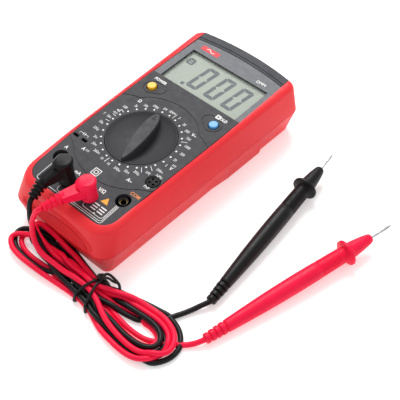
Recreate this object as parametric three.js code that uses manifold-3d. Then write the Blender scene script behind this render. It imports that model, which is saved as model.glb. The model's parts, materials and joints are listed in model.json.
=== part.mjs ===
// A handheld digital multimeter with two test leads, in millimetres.
// It lies on its back: X to the right, Y toward the display end, Z up out of the panel.
import * as THREE from "three";
import { mergeVertices } from "three/addons/utils/BufferGeometryUtils.js";
import Module from "manifold-3d";

const wasm = await Module();
wasm.setup();

// ---------------------------------------------------------------- driving dimensions
const GAP = 0.3; // clearance between neighbouring pieces

// Case outlines, from the floor up. Each is a rounded rectangle with an arched display end.
const FLOOR_EDGE = { halfWidth: 39.5, jackEnd: -85.2, displayEnd: 86, jackRadius: 5, displayRadius: 6 };
const PARTING_EDGE = { halfWidth: 44, jackEnd: -89.5, displayEnd: 90, jackRadius: 10.5, displayRadius: 6 };
const RIM_EDGE = { halfWidth: 41.6, jackEnd: -85.6, displayEnd: 89.8, jackRadius: 14.5, displayRadius: 6 };
const SHOULDER_EDGE = { halfWidth: 40.1, jackEnd: -83.4, displayEnd: 89.3, jackRadius: 14, displayRadius: 5.5 };
const LIP_EDGE = { halfWidth: 38, jackEnd: -80.6, displayEnd: 88.3, jackRadius: 12.5, displayRadius: 5 };
const TAPER = 0.0005; // the case widens toward the display end by this part for each millimetre
const TAPER_MIDDLE = 12;
const DISPLAY_ARCH = 3.2; // how far the display end bulges at its middle
const PARTING_Z = 17.5;
const RIM_Z = 34.6;
const SHOULDER_Z = 36.7;
const LIP_Z = 37.7;
const FLOOR_ROUND = 0.8;
const WALL = 2.3;
const JACK_WALL = 8.5; // the jack end is thick, because a finger groove is cut into it

// Front panel: flat round the dial, falling away toward the jack end.
const PANEL_TOP = 37.5;
const PANEL_THICK = 2.6;
const PANEL_HALF_WIDTH = 37.4; // at its widest; the sides bow inwards a little toward both ends
const PANEL_WIDEST_Y = 30;
const PANEL_BOW = 0.00022;
const PANEL_JACK_END = -79.5;
const PANEL_CORNER = 10;
const PANEL_DISPLAY_EDGE = 35.2; // where the display window starts
const GROOVE_WIDTH = 0.5; // lines cut into the panel
const GROOVE_DEPTH = 0.4;
const DROOP_START = -22;
const DROOP_RATE = 0.00078;

// Display end
const WINDOW_TOP = 36.9;
const WINDOW_THICK = 1.1;
const WINDOW_ARC_END = 77.6; // where the window's arched top meets the sides
const WINDOW_ARC_RISE = 3.2;
const WINDOW_ARC_HALF = 37;
const END_CAP_EDGE = 85.3;
const LCD_OPENING = { left: -31.6, right: 33.4, top: 67.9 };
const LCD_CELL = { left: -32.6, right: 34.4, bottom: 33.2, top: 70, base: 31.8, top_z: 34.5 };
const PANE_THICK = 0.7;

// Dial
const DIAL = { x: 0, y: -14.25 };
const KNOB_RADIUS = 22.9;
const KNOB_HOLE = 23.3;
const KNOB_TOP = 37.7;
const KNOB_BOTTOM = 31.5;
const KNOB_BOWL = { radius: 19, bottom: 29.6 }; // the middle reaches lower, to make room for the wells
const KNOB_DISH = 5.6; // depth of the finger wells at the middle
const KNOB_LIP = 0.75; // width of the rim outside the wells
// Places along the bar, from its thin end to its pointer end, with half its width at each.
const BAR_SHAPE = [
  [-22.4, 0.5], [-20, 1.6], [-15.2, 2.8], [-9.7, 3.7], [-3, 4.5], [3, 4.75],
  [9.2, 4.7], [14.7, 4], [18.5, 2.7], [20.2, 1.4], [20.8, 0.5],
];
const BAR_TOP = 40.2;
const BAR_EDGE = 0.5;
const POINTER = { radius: 16.6, halfWidth: 1.5, height: 3.4, line: 0.45 };
const POSITIONS = 28;
const BAR_TURN = THREE.MathUtils.degToRad(360 / POSITIONS); // the bar points one step left of the top
const HUB_RADIUS = 5;

// Buttons
const BUTTON = { x: 27, y: 22.9, radius: 3.1, hole: 3.75 };
const POWER_TOP = 39.4;
const HOLD_TOP = 38.9;

// Boards and sockets
const BOARD_TOP = 26;
const BOARD_THICK = 1.6;
const JACKS = [
  { name: "a", x: -27.5, y: -57.3 },
  { name: "ma", x: -9.5, y: -68.1 },
  { name: "v", x: 9.5, y: -68.1 },
  { name: "com", x: 27.5, y: -57.3 },
];
const JACK_HOLE = 5;
const JACK_INNER = 3.1;
const JACK_BORE = 2.05;
const SLEEVE_OUTER = 6.6;
const SLEEVE_BOTTOM = 12;
const TRANSISTOR = { x: 31.1, y: -35.7, radius: 4.6, top: 37.6, holePitch: 3, holeRadius: 0.85 };
const CAPACITOR = { x: -29.3, y: -39, pitch: 7.6, slotWidth: 4.6, slotDepth: 2.2, bodyWidth: 13, bodyDepth: 4.8 };

// Battery bay and tilt stand, both in the back
const BATTERY = { width: 48.5, depth: 26.5, height: 17.5, y: 66, z: 3.2 };
const DOOR = { halfWidth: 28, front: 46, back: 81, screwY: 49 };
const DOOR_THICK = 2;
const STAND = { halfWidth: 25, hingeY: 40, hingeZ: 2.4, foot: -44, thick: 2.4 };
const STAND_POCKET = 4.8;
const FLOOR_THICK = 2.6;
const WELL_TOP = 7; // top of the raised floor over the stand pocket and round the battery
const SCREWS = [
  { x: -33, y: 78 },
  { x: 33, y: 78 },
  { x: -33, y: -74 },
  { x: 33, y: -74 },
];

// Test leads
const LEAD = 3.4; // cord diameter
const HEAD_RADIUS = 5;
const CAP_RADIUS = 5.6;
const CAP_REACH = 2; // how far the cap runs on over the arm
const ARM = { halfWidth: 2.9, above: 2.4, below: 2.4, rootRadius: 4.3 };
const PIN_RADIUS = 1.9;
const PROBE_PIN = 1;

// ---------------------------------------------------------------- solid helpers
function toSolid(geometry) {
  const plain = geometry.clone();
  plain.deleteAttribute("normal");
  plain.deleteAttribute("uv");
  const merged = mergeVertices(plain, 1e-4);
  return new wasm.Manifold(
    new wasm.Mesh({
      numProp: 3,
      vertProperties: new Float32Array(merged.attributes.position.array),
      triVerts: new Uint32Array(merged.index.array),
    }),
  );
}

function toGeometry(solid) {
  const mesh = solid.getMesh();
  const positions = new Float32Array(mesh.numVert * 3);
  for (let i = 0; i < mesh.numVert; i++) {
    positions.set(mesh.vertProperties.subarray(i * mesh.numProp, i * mesh.numProp + 3), i * 3);
  }
  const geometry = new THREE.BufferGeometry();
  geometry.setAttribute("position", new THREE.BufferAttribute(positions, 3));
  geometry.setIndex(new THREE.BufferAttribute(new Uint32Array(mesh.triVerts), 1));
  geometry.computeVertexNormals();
  return geometry;
}

const union = (first, ...others) => others.reduce((sum, solid) => sum.add(solid), first);
const cut = (body, ...tools) => tools.reduce((rest, tool) => rest.subtract(tool), body);
const hull = (...solids) => wasm.Manifold.hull(solids);

// A box given by its lower and upper corners.
function box([x0, y0, z0], [x1, y1, z1]) {
  const geometry = new THREE.BoxGeometry(x1 - x0, y1 - y0, z1 - z0);
  geometry.translate((x0 + x1) / 2, (y0 + y1) / 2, (z0 + z1) / 2);
  return toSolid(geometry);
}

// An upright cylinder between two heights.
function post(x, y, z0, z1, radius, sides = 24) {
  const geometry = new THREE.CylinderGeometry(radius, radius, z1 - z0, sides);
  geometry.rotateX(Math.PI / 2);
  geometry.translate(x, y, (z0 + z1) / 2);
  return toSolid(geometry);
}

// A turned solid about an upright axis. The profile lists [radius, height] from the axis back to it.
function turned(profile, x, y, sides = 32) {
  const points = profile.map(([r, h]) => new THREE.Vector2(r, h));
  const geometry = new THREE.LatheGeometry(points, sides);
  geometry.rotateX(Math.PI / 2);
  geometry.translate(x, y, 0);
  return outward(geometry);
}

// A turned solid whose axis runs from one point toward another.
function turnedAlong(profile, from, toward, sides = 20) {
  const points = profile.map(([r, h]) => new THREE.Vector2(r, h));
  const geometry = new THREE.LatheGeometry(points, sides);
  const direction = new THREE.Vector3().subVectors(toward, from).normalize();
  const turn = new THREE.Quaternion().setFromUnitVectors(new THREE.Vector3(0, 1, 0), direction);
  geometry.applyQuaternion(turn);
  geometry.translate(from.x, from.y, from.z);
  return outward(geometry);
}

// Turns a closed surface right side out if its profile ran the other way.
function outward(geometry) {
  const solid = toSolid(geometry);
  if (solid.volume() > 0) return solid;
  const index = geometry.index.array;
  for (let i = 0; i < index.length; i += 3) {
    const swapped = index[i + 1];
    index[i + 1] = index[i + 2];
    index[i + 2] = swapped;
  }
  return toSolid(geometry);
}

// A plan outline raised between two heights.
function raised(points, z0, z1, holes = []) {
  const shape = new THREE.Shape(points);
  for (const hole of holes) shape.holes.push(new THREE.Path(hole));
  const geometry = new THREE.ExtrudeGeometry(shape, { depth: z1 - z0, bevelEnabled: false });
  geometry.translate(0, 0, z0);
  return toSolid(geometry);
}

// A side outline in (y, z), run across the width.
function across(points, x0, x1) {
  const shape = new THREE.Shape(points.map(([y, z]) => new THREE.Vector2(y, z)));
  const geometry = new THREE.ExtrudeGeometry(shape, { depth: x1 - x0, bevelEnabled: false });
  geometry.applyMatrix4(new THREE.Matrix4().set(0, 0, 1, x0, 1, 0, 0, 0, 0, 1, 0, 0, 0, 0, 0, 1));
  return toSolid(geometry);
}

function circle(radius, sides, x = 0, y = 0) {
  return Array.from({ length: sides }, (_, i) => {
    const angle = (i / sides) * 2 * Math.PI;
    return new THREE.Vector2(x + radius * Math.cos(angle), y + radius * Math.sin(angle));
  });
}

// A cord swept along smooth points.
function cord(points, radius = LEAD / 2, sides = 8) {
  const curve = new THREE.CatmullRomCurve3(points.map((p) => new THREE.Vector3(...p)));
  const steps = Math.max(4, Math.round(curve.getLength() / (radius * 4)));
  const shape = new THREE.Shape(circle(radius, sides));
  return toSolid(new THREE.ExtrudeGeometry(shape, { steps, bevelEnabled: false, extrudePath: curve }));
}

// ---------------------------------------------------------------- outlines and lofts
const CORNER_STEPS = 8;
const ARCH_STEPS = 12;
const SIDE_STATIONS = [-64, -54, -42, DROOP_START];

const widen = (y) => 1 + TAPER * (y - TAPER_MIDDLE);

// Counter-clockwise plan outline of the case at one height.
function caseOutline(edge, arch = DISPLAY_ARCH) {
  const { halfWidth, jackEnd, displayEnd, jackRadius, displayRadius } = edge;
  const shoulder = displayEnd - arch;
  const points = [];
  const corner = (cx, cy, radius, start) => {
    for (let i = 0; i <= CORNER_STEPS; i++) {
      const angle = start + ((i / CORNER_STEPS) * Math.PI) / 2;
      points.push(new THREE.Vector2(cx + radius * Math.cos(angle), cy + radius * Math.sin(angle)));
    }
  };
  corner(-halfWidth + jackRadius, jackEnd + jackRadius, jackRadius, Math.PI);
  corner(halfWidth - jackRadius, jackEnd + jackRadius, jackRadius, 1.5 * Math.PI);
  for (const y of SIDE_STATIONS) points.push(new THREE.Vector2(halfWidth, y));
  corner(halfWidth - displayRadius, shoulder - displayRadius, displayRadius, 0);
  const reach = halfWidth - displayRadius;
  for (let i = 1; i < ARCH_STEPS; i++) {
    const x = reach * (1 - (2 * i) / ARCH_STEPS);
    points.push(new THREE.Vector2(x, shoulder + arch * (1 - (x / reach) ** 2)));
  }
  corner(-halfWidth + displayRadius, shoulder - displayRadius, displayRadius, 0.5 * Math.PI);
  for (const y of SIDE_STATIONS.toReversed()) points.push(new THREE.Vector2(-halfWidth, y));
  return points.map((p) => new THREE.Vector2(p.x * widen(p.y), p.y));
}

// How far the top face has fallen at a distance along the meter.
const droop = (y) => (y < DROOP_START ? DROOP_RATE * (DROOP_START - y) ** 2 : 0);
const panelTop = (y) => PANEL_TOP - droop(y);

// An outline part of the way from one edge to another.
const between = (a, b, part) =>
  Object.fromEntries(Object.keys(a).map((key) => [key, a[key] + (b[key] - a[key]) * part]));

// A closed solid through stacked outlines that all have the same number of points.
function loft(rings) {
  const count = rings[0].outline.length;
  const positions = [];
  const index = [];
  for (const { outline, z, falls } of rings) {
    for (const p of outline) positions.push(p.x, p.y, falls ? z - droop(p.y) : z);
  }
  for (let level = 0; level + 1 < rings.length; level++) {
    for (let i = 0; i < count; i++) {
      const a = level * count + i;
      const b = level * count + ((i + 1) % count);
      index.push(a, b, b + count, a, b + count, a + count);
    }
  }
  const cap = (level, flip) => {
    const faces = THREE.ShapeUtils.triangulateShape(rings[level].outline, []);
    for (const [a, b, c] of faces) {
      const base = level * count;
      index.push(base + a, base + (flip ? c : b), base + (flip ? b : c));
    }
  };
  cap(0, true);
  cap(rings.length - 1, false);
  const geometry = new THREE.BufferGeometry();
  geometry.setAttribute("position", new THREE.Float32BufferAttribute(positions, 3));
  geometry.setIndex(index);
  return toSolid(geometry);
}

const inset = (edge, by, jackBy = by) => ({
  halfWidth: edge.halfWidth - by,
  jackEnd: edge.jackEnd + jackBy,
  displayEnd: edge.displayEnd - by,
  jackRadius: Math.max(3, edge.jackRadius - by),
  displayRadius: Math.max(2, edge.displayRadius - by),
});

const panelHalf = (y) => PANEL_HALF_WIDTH - PANEL_BOW * (y - PANEL_WIDEST_Y) ** 2;

// Plan outline of the panel pocket: square at the display end, rounded at the jack end.
function pocketOutline(shrink, top, arch) {
  const points = [];
  const end = PANEL_JACK_END + shrink;
  const radius = PANEL_CORNER - shrink / 2;
  const half = panelHalf(end + radius) - shrink;
  for (let i = 0; i <= 6; i++) {
    const angle = Math.PI + (i / 12) * Math.PI;
    points.push(new THREE.Vector2(-half + radius + radius * Math.cos(angle), end + radius + radius * Math.sin(angle)));
  }
  for (let i = 0; i <= 6; i++) {
    const angle = 1.5 * Math.PI + (i / 12) * Math.PI;
    points.push(new THREE.Vector2(half - radius + radius * Math.cos(angle), end + radius + radius * Math.sin(angle)));
  }
  const side = [-40, -10, 20, 45, 65].filter((y) => y < top - 5);
  for (const y of side) points.push(new THREE.Vector2(panelHalf(y) - shrink, y));
  const corner = panelHalf(top) - shrink;
  for (let i = 0; i <= 8; i++) {
    const x = corner * (1 - i / 4);
    points.push(new THREE.Vector2(x, top + arch * (1 - (x / corner) ** 2)));
  }
  for (const y of side.reverse()) points.push(new THREE.Vector2(-panelHalf(y) + shrink, y));
  return points;
}

// The slab between two depths below the falling top face.
function fallingSlab(topDepth, bottomDepth, from, to) {
  const stations = [-95, -86, -78, -70, -62, -54, -46, -38, -30, DROOP_START, 100].filter((y) => y > from && y < to);
  const along = [from, ...stations, to];
  const top = along.map((y) => [y, panelTop(y) - topDepth]);
  const bottom = along.map((y) => [y, panelTop(y) - bottomDepth]).reverse();
  return across([...bottom.reverse(), ...top.reverse()], -60, 60);
}

// ---------------------------------------------------------------- case
const BOSS = 3.4;

function buildFrontShell() {
  const outer = loft([
    { outline: caseOutline(PARTING_EDGE), z: PARTING_Z + GAP / 2 },
    { outline: caseOutline(RIM_EDGE), z: RIM_Z, falls: true },
    { outline: caseOutline(between(RIM_EDGE, SHOULDER_EDGE, 0.35)), z: RIM_Z + 1.25, falls: true },
    { outline: caseOutline(SHOULDER_EDGE), z: SHOULDER_Z, falls: true },
    { outline: caseOutline(between(SHOULDER_EDGE, LIP_EDGE, 0.45)), z: LIP_Z - 0.4, falls: true },
    { outline: caseOutline(LIP_EDGE), z: LIP_Z, falls: true },
  ]);
  const ceiling = RIM_Z - 1.6;
  const cavity = loft([
    { outline: caseOutline(inset(PARTING_EDGE, WALL, JACK_WALL)), z: PARTING_Z - 1 },
    { outline: caseOutline(inset(RIM_EDGE, WALL + 0.6, JACK_WALL - 2)), z: ceiling, falls: true },
  ]);
  const pocketFloor = PANEL_THICK + 0.25;
  const pocket = raised(pocketOutline(-0.2, 95, 0), 20, 45).intersect(fallingSlab(-8, pocketFloor, -90, 100));
  const opening = raised(pocketOutline(2.2, 72, 1.5), 25, 45);
  const bosses = SCREWS.map(({ x, y }) => post(x, y, PARTING_Z + 1, ceiling + 1 - droop(y), BOSS, 16));
  const bores = SCREWS.map(({ x, y }) => post(x, y, PARTING_Z, ceiling - 4 - droop(y), 1.25, 12));
  const body = union(cut(outer, cavity), ...bosses.map((b) => b.intersect(outer)));
  return cut(body, pocket, opening, fingerGroove(), ...bores, ...socketClearances());
}

// Room through the panel ledge for the sockets that stand close to the case wall.
function socketClearances() {
  const sleeves = JACKS.map(({ x, y }) => post(x, y, PARTING_Z, 45, SLEEVE_OUTER + GAP, 24));
  const round = post(TRANSISTOR.x, TRANSISTOR.y, 25, 45, TRANSISTOR.radius + GAP, 24);
  const { x, y, bodyWidth, bodyDepth } = CAPACITOR;
  const slot = box(
    [x - bodyWidth / 2 - GAP, y - bodyDepth / 2 - GAP, 25],
    [x + bodyWidth / 2 + GAP, y + bodyDepth / 2 + GAP, 45],
  );
  return [...sleeves, round, slot];
}

// The long rounded hollow in the jack end wall, with its ends fading out.
const FINGER_GROOVE = { halfLength: 33, depth: 8.9, halfHeight: 8.8, y: -91.1, z: 22.3 };

function fingerGroove() {
  const { halfLength, depth, halfHeight, y, z } = FINGER_GROOVE;
  const geometry = new THREE.SphereGeometry(1, 32, 16);
  geometry.scale(halfLength, depth, halfHeight);
  geometry.translate(0, y, z);
  return toSolid(geometry);
}

// The rear shell swells a little along its lower edge, beside the stand hinge.
const SWELL = { from: 4, full: 20, fullEnd: 50, end: 53.5, out: 1.5, inner: 36 };

function sideSwell(side) {
  const slope = (PARTING_EDGE.halfWidth - FLOOR_EDGE.halfWidth) / PARTING_Z;
  const top = PARTING_Z - 1;
  const section = (y, out) => {
    const at = (x, z) => [side * x * widen(y), y, z];
    return [
      at(SWELL.inner, 0), at(SWELL.inner, top), at(FLOOR_EDGE.halfWidth - FLOOR_ROUND + out, 0),
      at(FLOOR_EDGE.halfWidth + out, FLOOR_ROUND), at(FLOOR_EDGE.halfWidth + slope * top, top),
    ];
  };
  return wasm.Manifold.hull([
    ...section(SWELL.from, 0), ...section(SWELL.full, SWELL.out),
    ...section(SWELL.fullEnd, SWELL.out), ...section(SWELL.end, 0),
  ]);
}

function buildRearShell() {
  const outer = loft([
    { outline: caseOutline(inset(FLOOR_EDGE, FLOOR_ROUND)), z: 0 },
    { outline: caseOutline(between(FLOOR_EDGE, PARTING_EDGE, FLOOR_ROUND / PARTING_Z)), z: FLOOR_ROUND },
    { outline: caseOutline(PARTING_EDGE), z: PARTING_Z - GAP / 2 },
  ]);
  const inner = loft([
    { outline: caseOutline(inset(FLOOR_EDGE, WALL - 0.8, JACK_WALL)), z: FLOOR_THICK },
    { outline: caseOutline(inset(PARTING_EDGE, WALL, JACK_WALL)), z: PARTING_Z + 1 },
  ]);
  const { halfWidth, front, back } = DOOR;
  const well = box([-halfWidth - 2, front - 2, 1], [halfWidth + 2, back + 1.5, WELL_TOP]);
  const bay = box([-halfWidth + 2, DOOR.screwY + 2.5, -1], [halfWidth - 2, back - 1, WELL_TOP + 1]);
  const doorSeat = box([-halfWidth - GAP, front - GAP, -1], [halfWidth + GAP, back + GAP, DOOR_THICK + GAP]);
  const reach = STAND.halfWidth + 0.6;
  const standRoof = box([-reach - 2, STAND.foot - 9, 1], [reach + 2, STAND.hingeY + 4.5, WELL_TOP]);
  const standSeat = box([-reach, STAND.foot - 0.8, -1], [reach, STAND.hingeY + 2.6, STAND_POCKET]);
  const fingerNotch = box([-8, STAND.foot - 7, -1], [8, STAND.foot, STAND_POCKET - 1]);
  const bosses = SCREWS.map(({ x, y }) => post(x, y, 1, PARTING_Z - 1, BOSS, 16));
  const heads = SCREWS.map(({ x, y }) => post(x, y, -1, 4.5, 2.9, 16));
  const shanks = SCREWS.map(({ x, y }) => post(x, y, 4, PARTING_Z, 1.7, 12));
  const doorScrewHole = post(0, DOOR.screwY, 1, WELL_TOP - 0.2, 1.4, 12);
  const additions = [well, standRoof, ...bosses].map((solid) => solid.intersect(outer));
  const body = union(cut(outer, inner), ...additions, sideSwell(1), sideSwell(-1));
  return cut(body, bay, doorSeat, standSeat, fingerNotch, fingerGroove(), doorScrewHole, ...heads, ...shanks);
}

const screwProfile = (head, shank, headBottom, headTop, tip) => [
  [0, tip], [shank, tip], [shank, headTop], [head, headTop], [head, headBottom], [0, headBottom],
];

function buildCaseScrew({ x, y }) {
  const screw = turned(screwProfile(2.5, 1.1, 2.4, 4.2, 26.5), x, y, 12);
  const slot = union(box([x - 1.5, y - 0.3, 2], [x + 1.5, y + 0.3, 3.2]), box([x - 0.3, y - 1.5, 2], [x + 0.3, y + 1.5, 3.2]));
  return cut(screw, slot);
}

// ---------------------------------------------------------------- panel and display
// Half of each curved line that crosses the panel, from the middle out to the side.
const UPPER_LINE = [[0, 21.95], [8.3, 20.75], [15, 18.75], [22, 14.75], [25.8, 10.6], [28.9, 9.9], [38, 5.9]];
const LOWER_LINE = [[0, -57.25], [5.1, -56.65], [12.2, -55.15], [21.5, -51.05], [29.2, -45.35], [38, -40.6]];
const KEY_PAD = { radius: 5.6, lobeX: 21.5, lobeY: 24.6, lobeRadius: 4.5 };

// A narrow band that follows a smooth line across the panel.
function groove(half) {
  const mirrored = half.slice(1).reverse().map(([x, y]) => [-x, y]);
  const curve = new THREE.CatmullRomCurve3([...mirrored, ...half].map(([x, y]) => new THREE.Vector3(x, y, 0)));
  const points = curve.getPoints(48);
  const side = (sign) => points.map((p, i) => {
    const along = new THREE.Vector3().subVectors(points[Math.min(i + 1, 48)], points[Math.max(i - 1, 0)]).normalize();
    const out = (sign * GROOVE_WIDTH) / 2;
    return new THREE.Vector2(p.x - along.y * out, p.y + along.x * out);
  });
  return raised([...side(-1), ...side(1).reverse()], 20, 45);
}

// The line round a key, with a lobe toward the middle of the panel.
function keyPadGroove(side) {
  const { radius, lobeX, lobeY, lobeRadius } = KEY_PAD;
  const pad = (grow) => hull(
    post(side * BUTTON.x, BUTTON.y, 20, 45, radius + grow, 32),
    post(side * lobeX, lobeY, 20, 45, lobeRadius + grow, 32),
  );
  return cut(pad(GROOVE_WIDTH / 2), pad(-GROOVE_WIDTH / 2));
}

function buildPanel() {
  const outline = pocketOutline(0, PANEL_DISPLAY_EDGE, 0);
  const plate = raised(outline, 20, 45).intersect(fallingSlab(0, PANEL_THICK, -90, 60));
  const jackHoles = JACKS.map(({ x, y }) => post(x, y, 25, 45, JACK_HOLE, 32));
  const buttonHoles = [-1, 1].map((side) => post(side * BUTTON.x, BUTTON.y, 25, 45, BUTTON.hole, 28));
  const socketHole = post(TRANSISTOR.x, TRANSISTOR.y, 25, 45, TRANSISTOR.radius + GAP, 28);
  const { x, y, pitch, slotWidth, slotDepth } = CAPACITOR;
  const slots = [-1, 1].map((side) => {
    const cx = x + (side * pitch) / 2;
    return box([cx - slotWidth / 2, y - slotDepth / 2, 25], [cx + slotWidth / 2, y + slotDepth / 2, 45]);
  });
  const lines = union(groove(UPPER_LINE), groove(LOWER_LINE), keyPadGroove(1), keyPadGroove(-1));
  const shallow = lines.intersect(fallingSlab(-5, GROOVE_DEPTH, -90, 60));
  const dialHole = post(DIAL.x, DIAL.y, 25, 45, KNOB_HOLE, 64);
  return cut(plate, shallow, dialHole, ...jackHoles, ...buttonHoles, socketHole, ...slots);
}

// Points of the arched line across the display end.
function archLine(end, rise, half) {
  return Array.from({ length: 11 }, (_, i) => {
    const x = half * (1 - i / 5);
    return new THREE.Vector2(x, end + rise * (1 - (x / half) ** 2));
  });
}

// The part of the panel pocket between two arched lines, or above a straight edge if none is given.
function pocketSlice(from, to, z0, z1) {
  const far = 50;
  const near = from === null ? [] : archLine(from, WINDOW_ARC_RISE, WINDOW_ARC_HALF);
  const start = from === null ? PANEL_DISPLAY_EDGE + GAP : from - WINDOW_ARC_RISE;
  const lower = [new THREE.Vector2(far, start), ...near, new THREE.Vector2(-far, start)];
  const upper = archLine(to, WINDOW_ARC_RISE, WINDOW_ARC_HALF).reverse();
  const band = [...lower, new THREE.Vector2(-far, to - 1), ...upper, new THREE.Vector2(far, to - 1)];
  return raised(pocketOutline(0.1, 95, 0), z0, z1).intersect(raised(band.reverse(), z0 - 1, z1 + 1));
}

function buildWindowFrame() {
  const plate = pocketSlice(null, WINDOW_ARC_END, WINDOW_TOP - WINDOW_THICK, WINDOW_TOP);
  const opening = box([LCD_OPENING.left, 30, 30], [LCD_OPENING.right, LCD_OPENING.top, 40]);
  return cut(plate, opening);
}

function buildWindowPane() {
  const top = WINDOW_TOP - WINDOW_THICK - 0.1;
  return pocketSlice(null, WINDOW_ARC_END, top - PANE_THICK, top);
}

// The dark moulding over the display end: a low step beside the window, then the arched cap.
function buildEndCap() {
  const base = PANEL_TOP - PANEL_THICK;
  const low = pocketSlice(WINDOW_ARC_END + GAP, WINDOW_ARC_END + 3, base, PANEL_TOP - 0.3);
  const cap = pocketSlice(WINDOW_ARC_END + 2.2, END_CAP_EDGE, base, PANEL_TOP + 0.1);
  return union(low, cap);
}

function buildLcdCell() {
  const { left, right, bottom, top, base, top_z } = LCD_CELL;
  return box([left, bottom, base], [right, top, top_z]);
}

function buildLcdHolder() {
  const { left, right, bottom, top, base } = LCD_CELL;
  const plate = box([left, bottom, base - 2.2], [right, top, base - 0.2]);
  const slot = box([left + 4, bottom + 2, base - 3], [right - 4, bottom + 5.2, base]);
  const legs = [-1, 1].map((side) => {
    const x = side > 0 ? right - 3 : left + 3;
    return post(x, top - 4, BOARD_TOP + 0.2, base - 2, 1.6, 12);
  });
  return union(cut(plate, slot), ...legs);
}

// ---------------------------------------------------------------- dial
function barOutline(shrink) {
  const half = (side) => BAR_SHAPE.map(([along, width]) => {
    const short = along < 0 ? Math.max(along, BAR_SHAPE[0][0] + shrink) : Math.min(along, BAR_SHAPE.at(-1)[0] - shrink);
    return new THREE.Vector2(side * Math.max(0.1, width - shrink), short);
  });
  return [...half(1), ...half(-1).reverse()];
}

function buildKnob() {
  const dish = Array.from({ length: 9 }, (_, i) => {
    const reach = KNOB_RADIUS - KNOB_LIP;
    const r = (reach * i) / 8;
    const depth = KNOB_DISH * (1 - (r / reach) ** 2);
    return [r, KNOB_TOP - 0.3 - depth];
  });
  const hubBottom = BOARD_TOP - BOARD_THICK - 1.8;
  const profile = [
    ...dish,
    [KNOB_RADIUS - KNOB_LIP + 0.25, KNOB_TOP],
    [KNOB_RADIUS - 0.2, KNOB_TOP],
    [KNOB_RADIUS, KNOB_TOP - 0.3],
    [KNOB_RADIUS, KNOB_BOTTOM],
    [KNOB_BOWL.radius, KNOB_BOTTOM],
    [KNOB_BOWL.radius, KNOB_BOWL.bottom],
    [HUB_RADIUS, KNOB_BOWL.bottom],
    [HUB_RADIUS, hubBottom],
    [0, hubBottom],
  ];
  const disc = turned(profile, 0, 0, 64);
  const flat = raised(barOutline(0), KNOB_BOTTOM, BAR_TOP - BAR_EDGE);
  const edge = raised(barOutline(BAR_EDGE), KNOB_BOTTOM, BAR_TOP);
  const overCarrier = cut(post(0, 0, 28, KNOB_BOTTOM, KNOB_RADIUS + 1, 40), post(0, 0, 27, 33, KNOB_BOWL.radius, 40));
  return cut(union(disc, cut(hull(flat, edge), overCarrier)), pointerMark());
}

// A thin triangle engraved near the end of the bar.
function pointerMark() {
  const { radius, halfWidth, height, line } = POINTER;
  const triangle = (shrink) => {
    const corners = [[0, height / 2 - 2 * shrink], [-halfWidth + shrink, shrink - height / 2], [halfWidth - shrink, shrink - height / 2]];
    const points = corners.map(([x, y]) => new THREE.Vector2(x, radius + y));
    return raised(points, BAR_TOP - 0.3, BAR_TOP + 1);
  };
  return cut(triangle(0), triangle(line));
}

const BALL_ORBIT = 21.9;
const BALL_RADIUS = 1.35;

function buildWiperCarrier() {
  const rim = post(0, 0, 28.1, KNOB_BOTTOM - GAP, 20.9, 40);
  const disc = cut(rim, post(0, 0, KNOB_BOWL.bottom - GAP, 33, KNOB_BOWL.radius + GAP, 40));
  const cups = [0, Math.PI].map((angle) =>
    post(BALL_ORBIT * Math.cos(angle), BALL_ORBIT * Math.sin(angle), 27, 33, BALL_RADIUS + GAP, 16),
  );
  return cut(disc, post(0, 0, 27, 33, HUB_RADIUS + GAP, 24), ...cups);
}

// One spring plate with four fingers that rub on the board's tracks.
function buildWiperContacts() {
  const plate = raised(circle(18, 32), 27.2, 27.8, [circle(11.5, 24)]);
  const fingers = [0, 1, 2, 3].map((i) => {
    const angle = (i * Math.PI) / 2 + 0.4;
    return post(14.6 * Math.cos(angle), 14.6 * Math.sin(angle), BOARD_TOP + 0.2, 27.4, 0.9, 10);
  });
  return union(plate, ...fingers);
}

function buildBall(angle) {
  const geometry = new THREE.SphereGeometry(BALL_RADIUS, 12, 8);
  geometry.translate(BALL_ORBIT * Math.cos(angle), BALL_ORBIT * Math.sin(angle), 29.6);
  return toSolid(geometry);
}

// The fixed ring of stops round the dial, one notch for each position.
function buildDetentRing() {
  const inner = 23.6;
  const notch = 0.9;
  const steps = POSITIONS * 4;
  const scallops = Array.from({ length: steps }, (_, i) => {
    const angle = (i / steps) * 2 * Math.PI;
    const radius = inner + (notch * (1 + Math.cos(POSITIONS * angle))) / 2;
    return new THREE.Vector2(radius * Math.cos(angle), radius * Math.sin(angle));
  });
  const ring = raised(circle(26.6, 48), 28.1, PANEL_TOP - PANEL_THICK - 0.6, [scallops]);
  return ring.translate([DIAL.x, DIAL.y, 0]);
}

function buildRetainer() {
  const z = BOARD_TOP - BOARD_THICK - 1.6;
  return raised(circle(9, 28), z, z + 1.2, [circle(HUB_RADIUS + GAP, 24)]);
}

// ---------------------------------------------------------------- buttons
function buildButtonCap(side, top) {
  const r = BUTTON.radius;
  const profile = [[0, 32.5], [r + 0.9, 32.5], [r + 0.9, 33.6], [r, 33.6], [r, top - 0.5], [r - 0.5, top], [0, top]];
  return turned(profile, side * BUTTON.x, BUTTON.y, 24);
}

// The power key and the stem under it, which works the switch, are one moulding.
function buildPowerKey() {
  const x = -BUTTON.x;
  const stem = box([x - 1.4, BUTTON.y - 1.4, 29.6], [x + 1.4, BUTTON.y + 1.4, 33]);
  return union(buildButtonCap(-1, POWER_TOP), stem);
}

function buildPowerSwitch() {
  const x = -BUTTON.x;
  const base = BOARD_TOP + 0.2;
  const body = box([x - 4.2, BUTTON.y - 4.2, base], [x + 4.2, BUTTON.y + 4.2, base + 4.6]);
  return cut(body, box([x - 1.8, BUTTON.y - 1.8, base + 0.6], [x + 1.8, BUTTON.y + 1.8, base + 6]));
}

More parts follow.
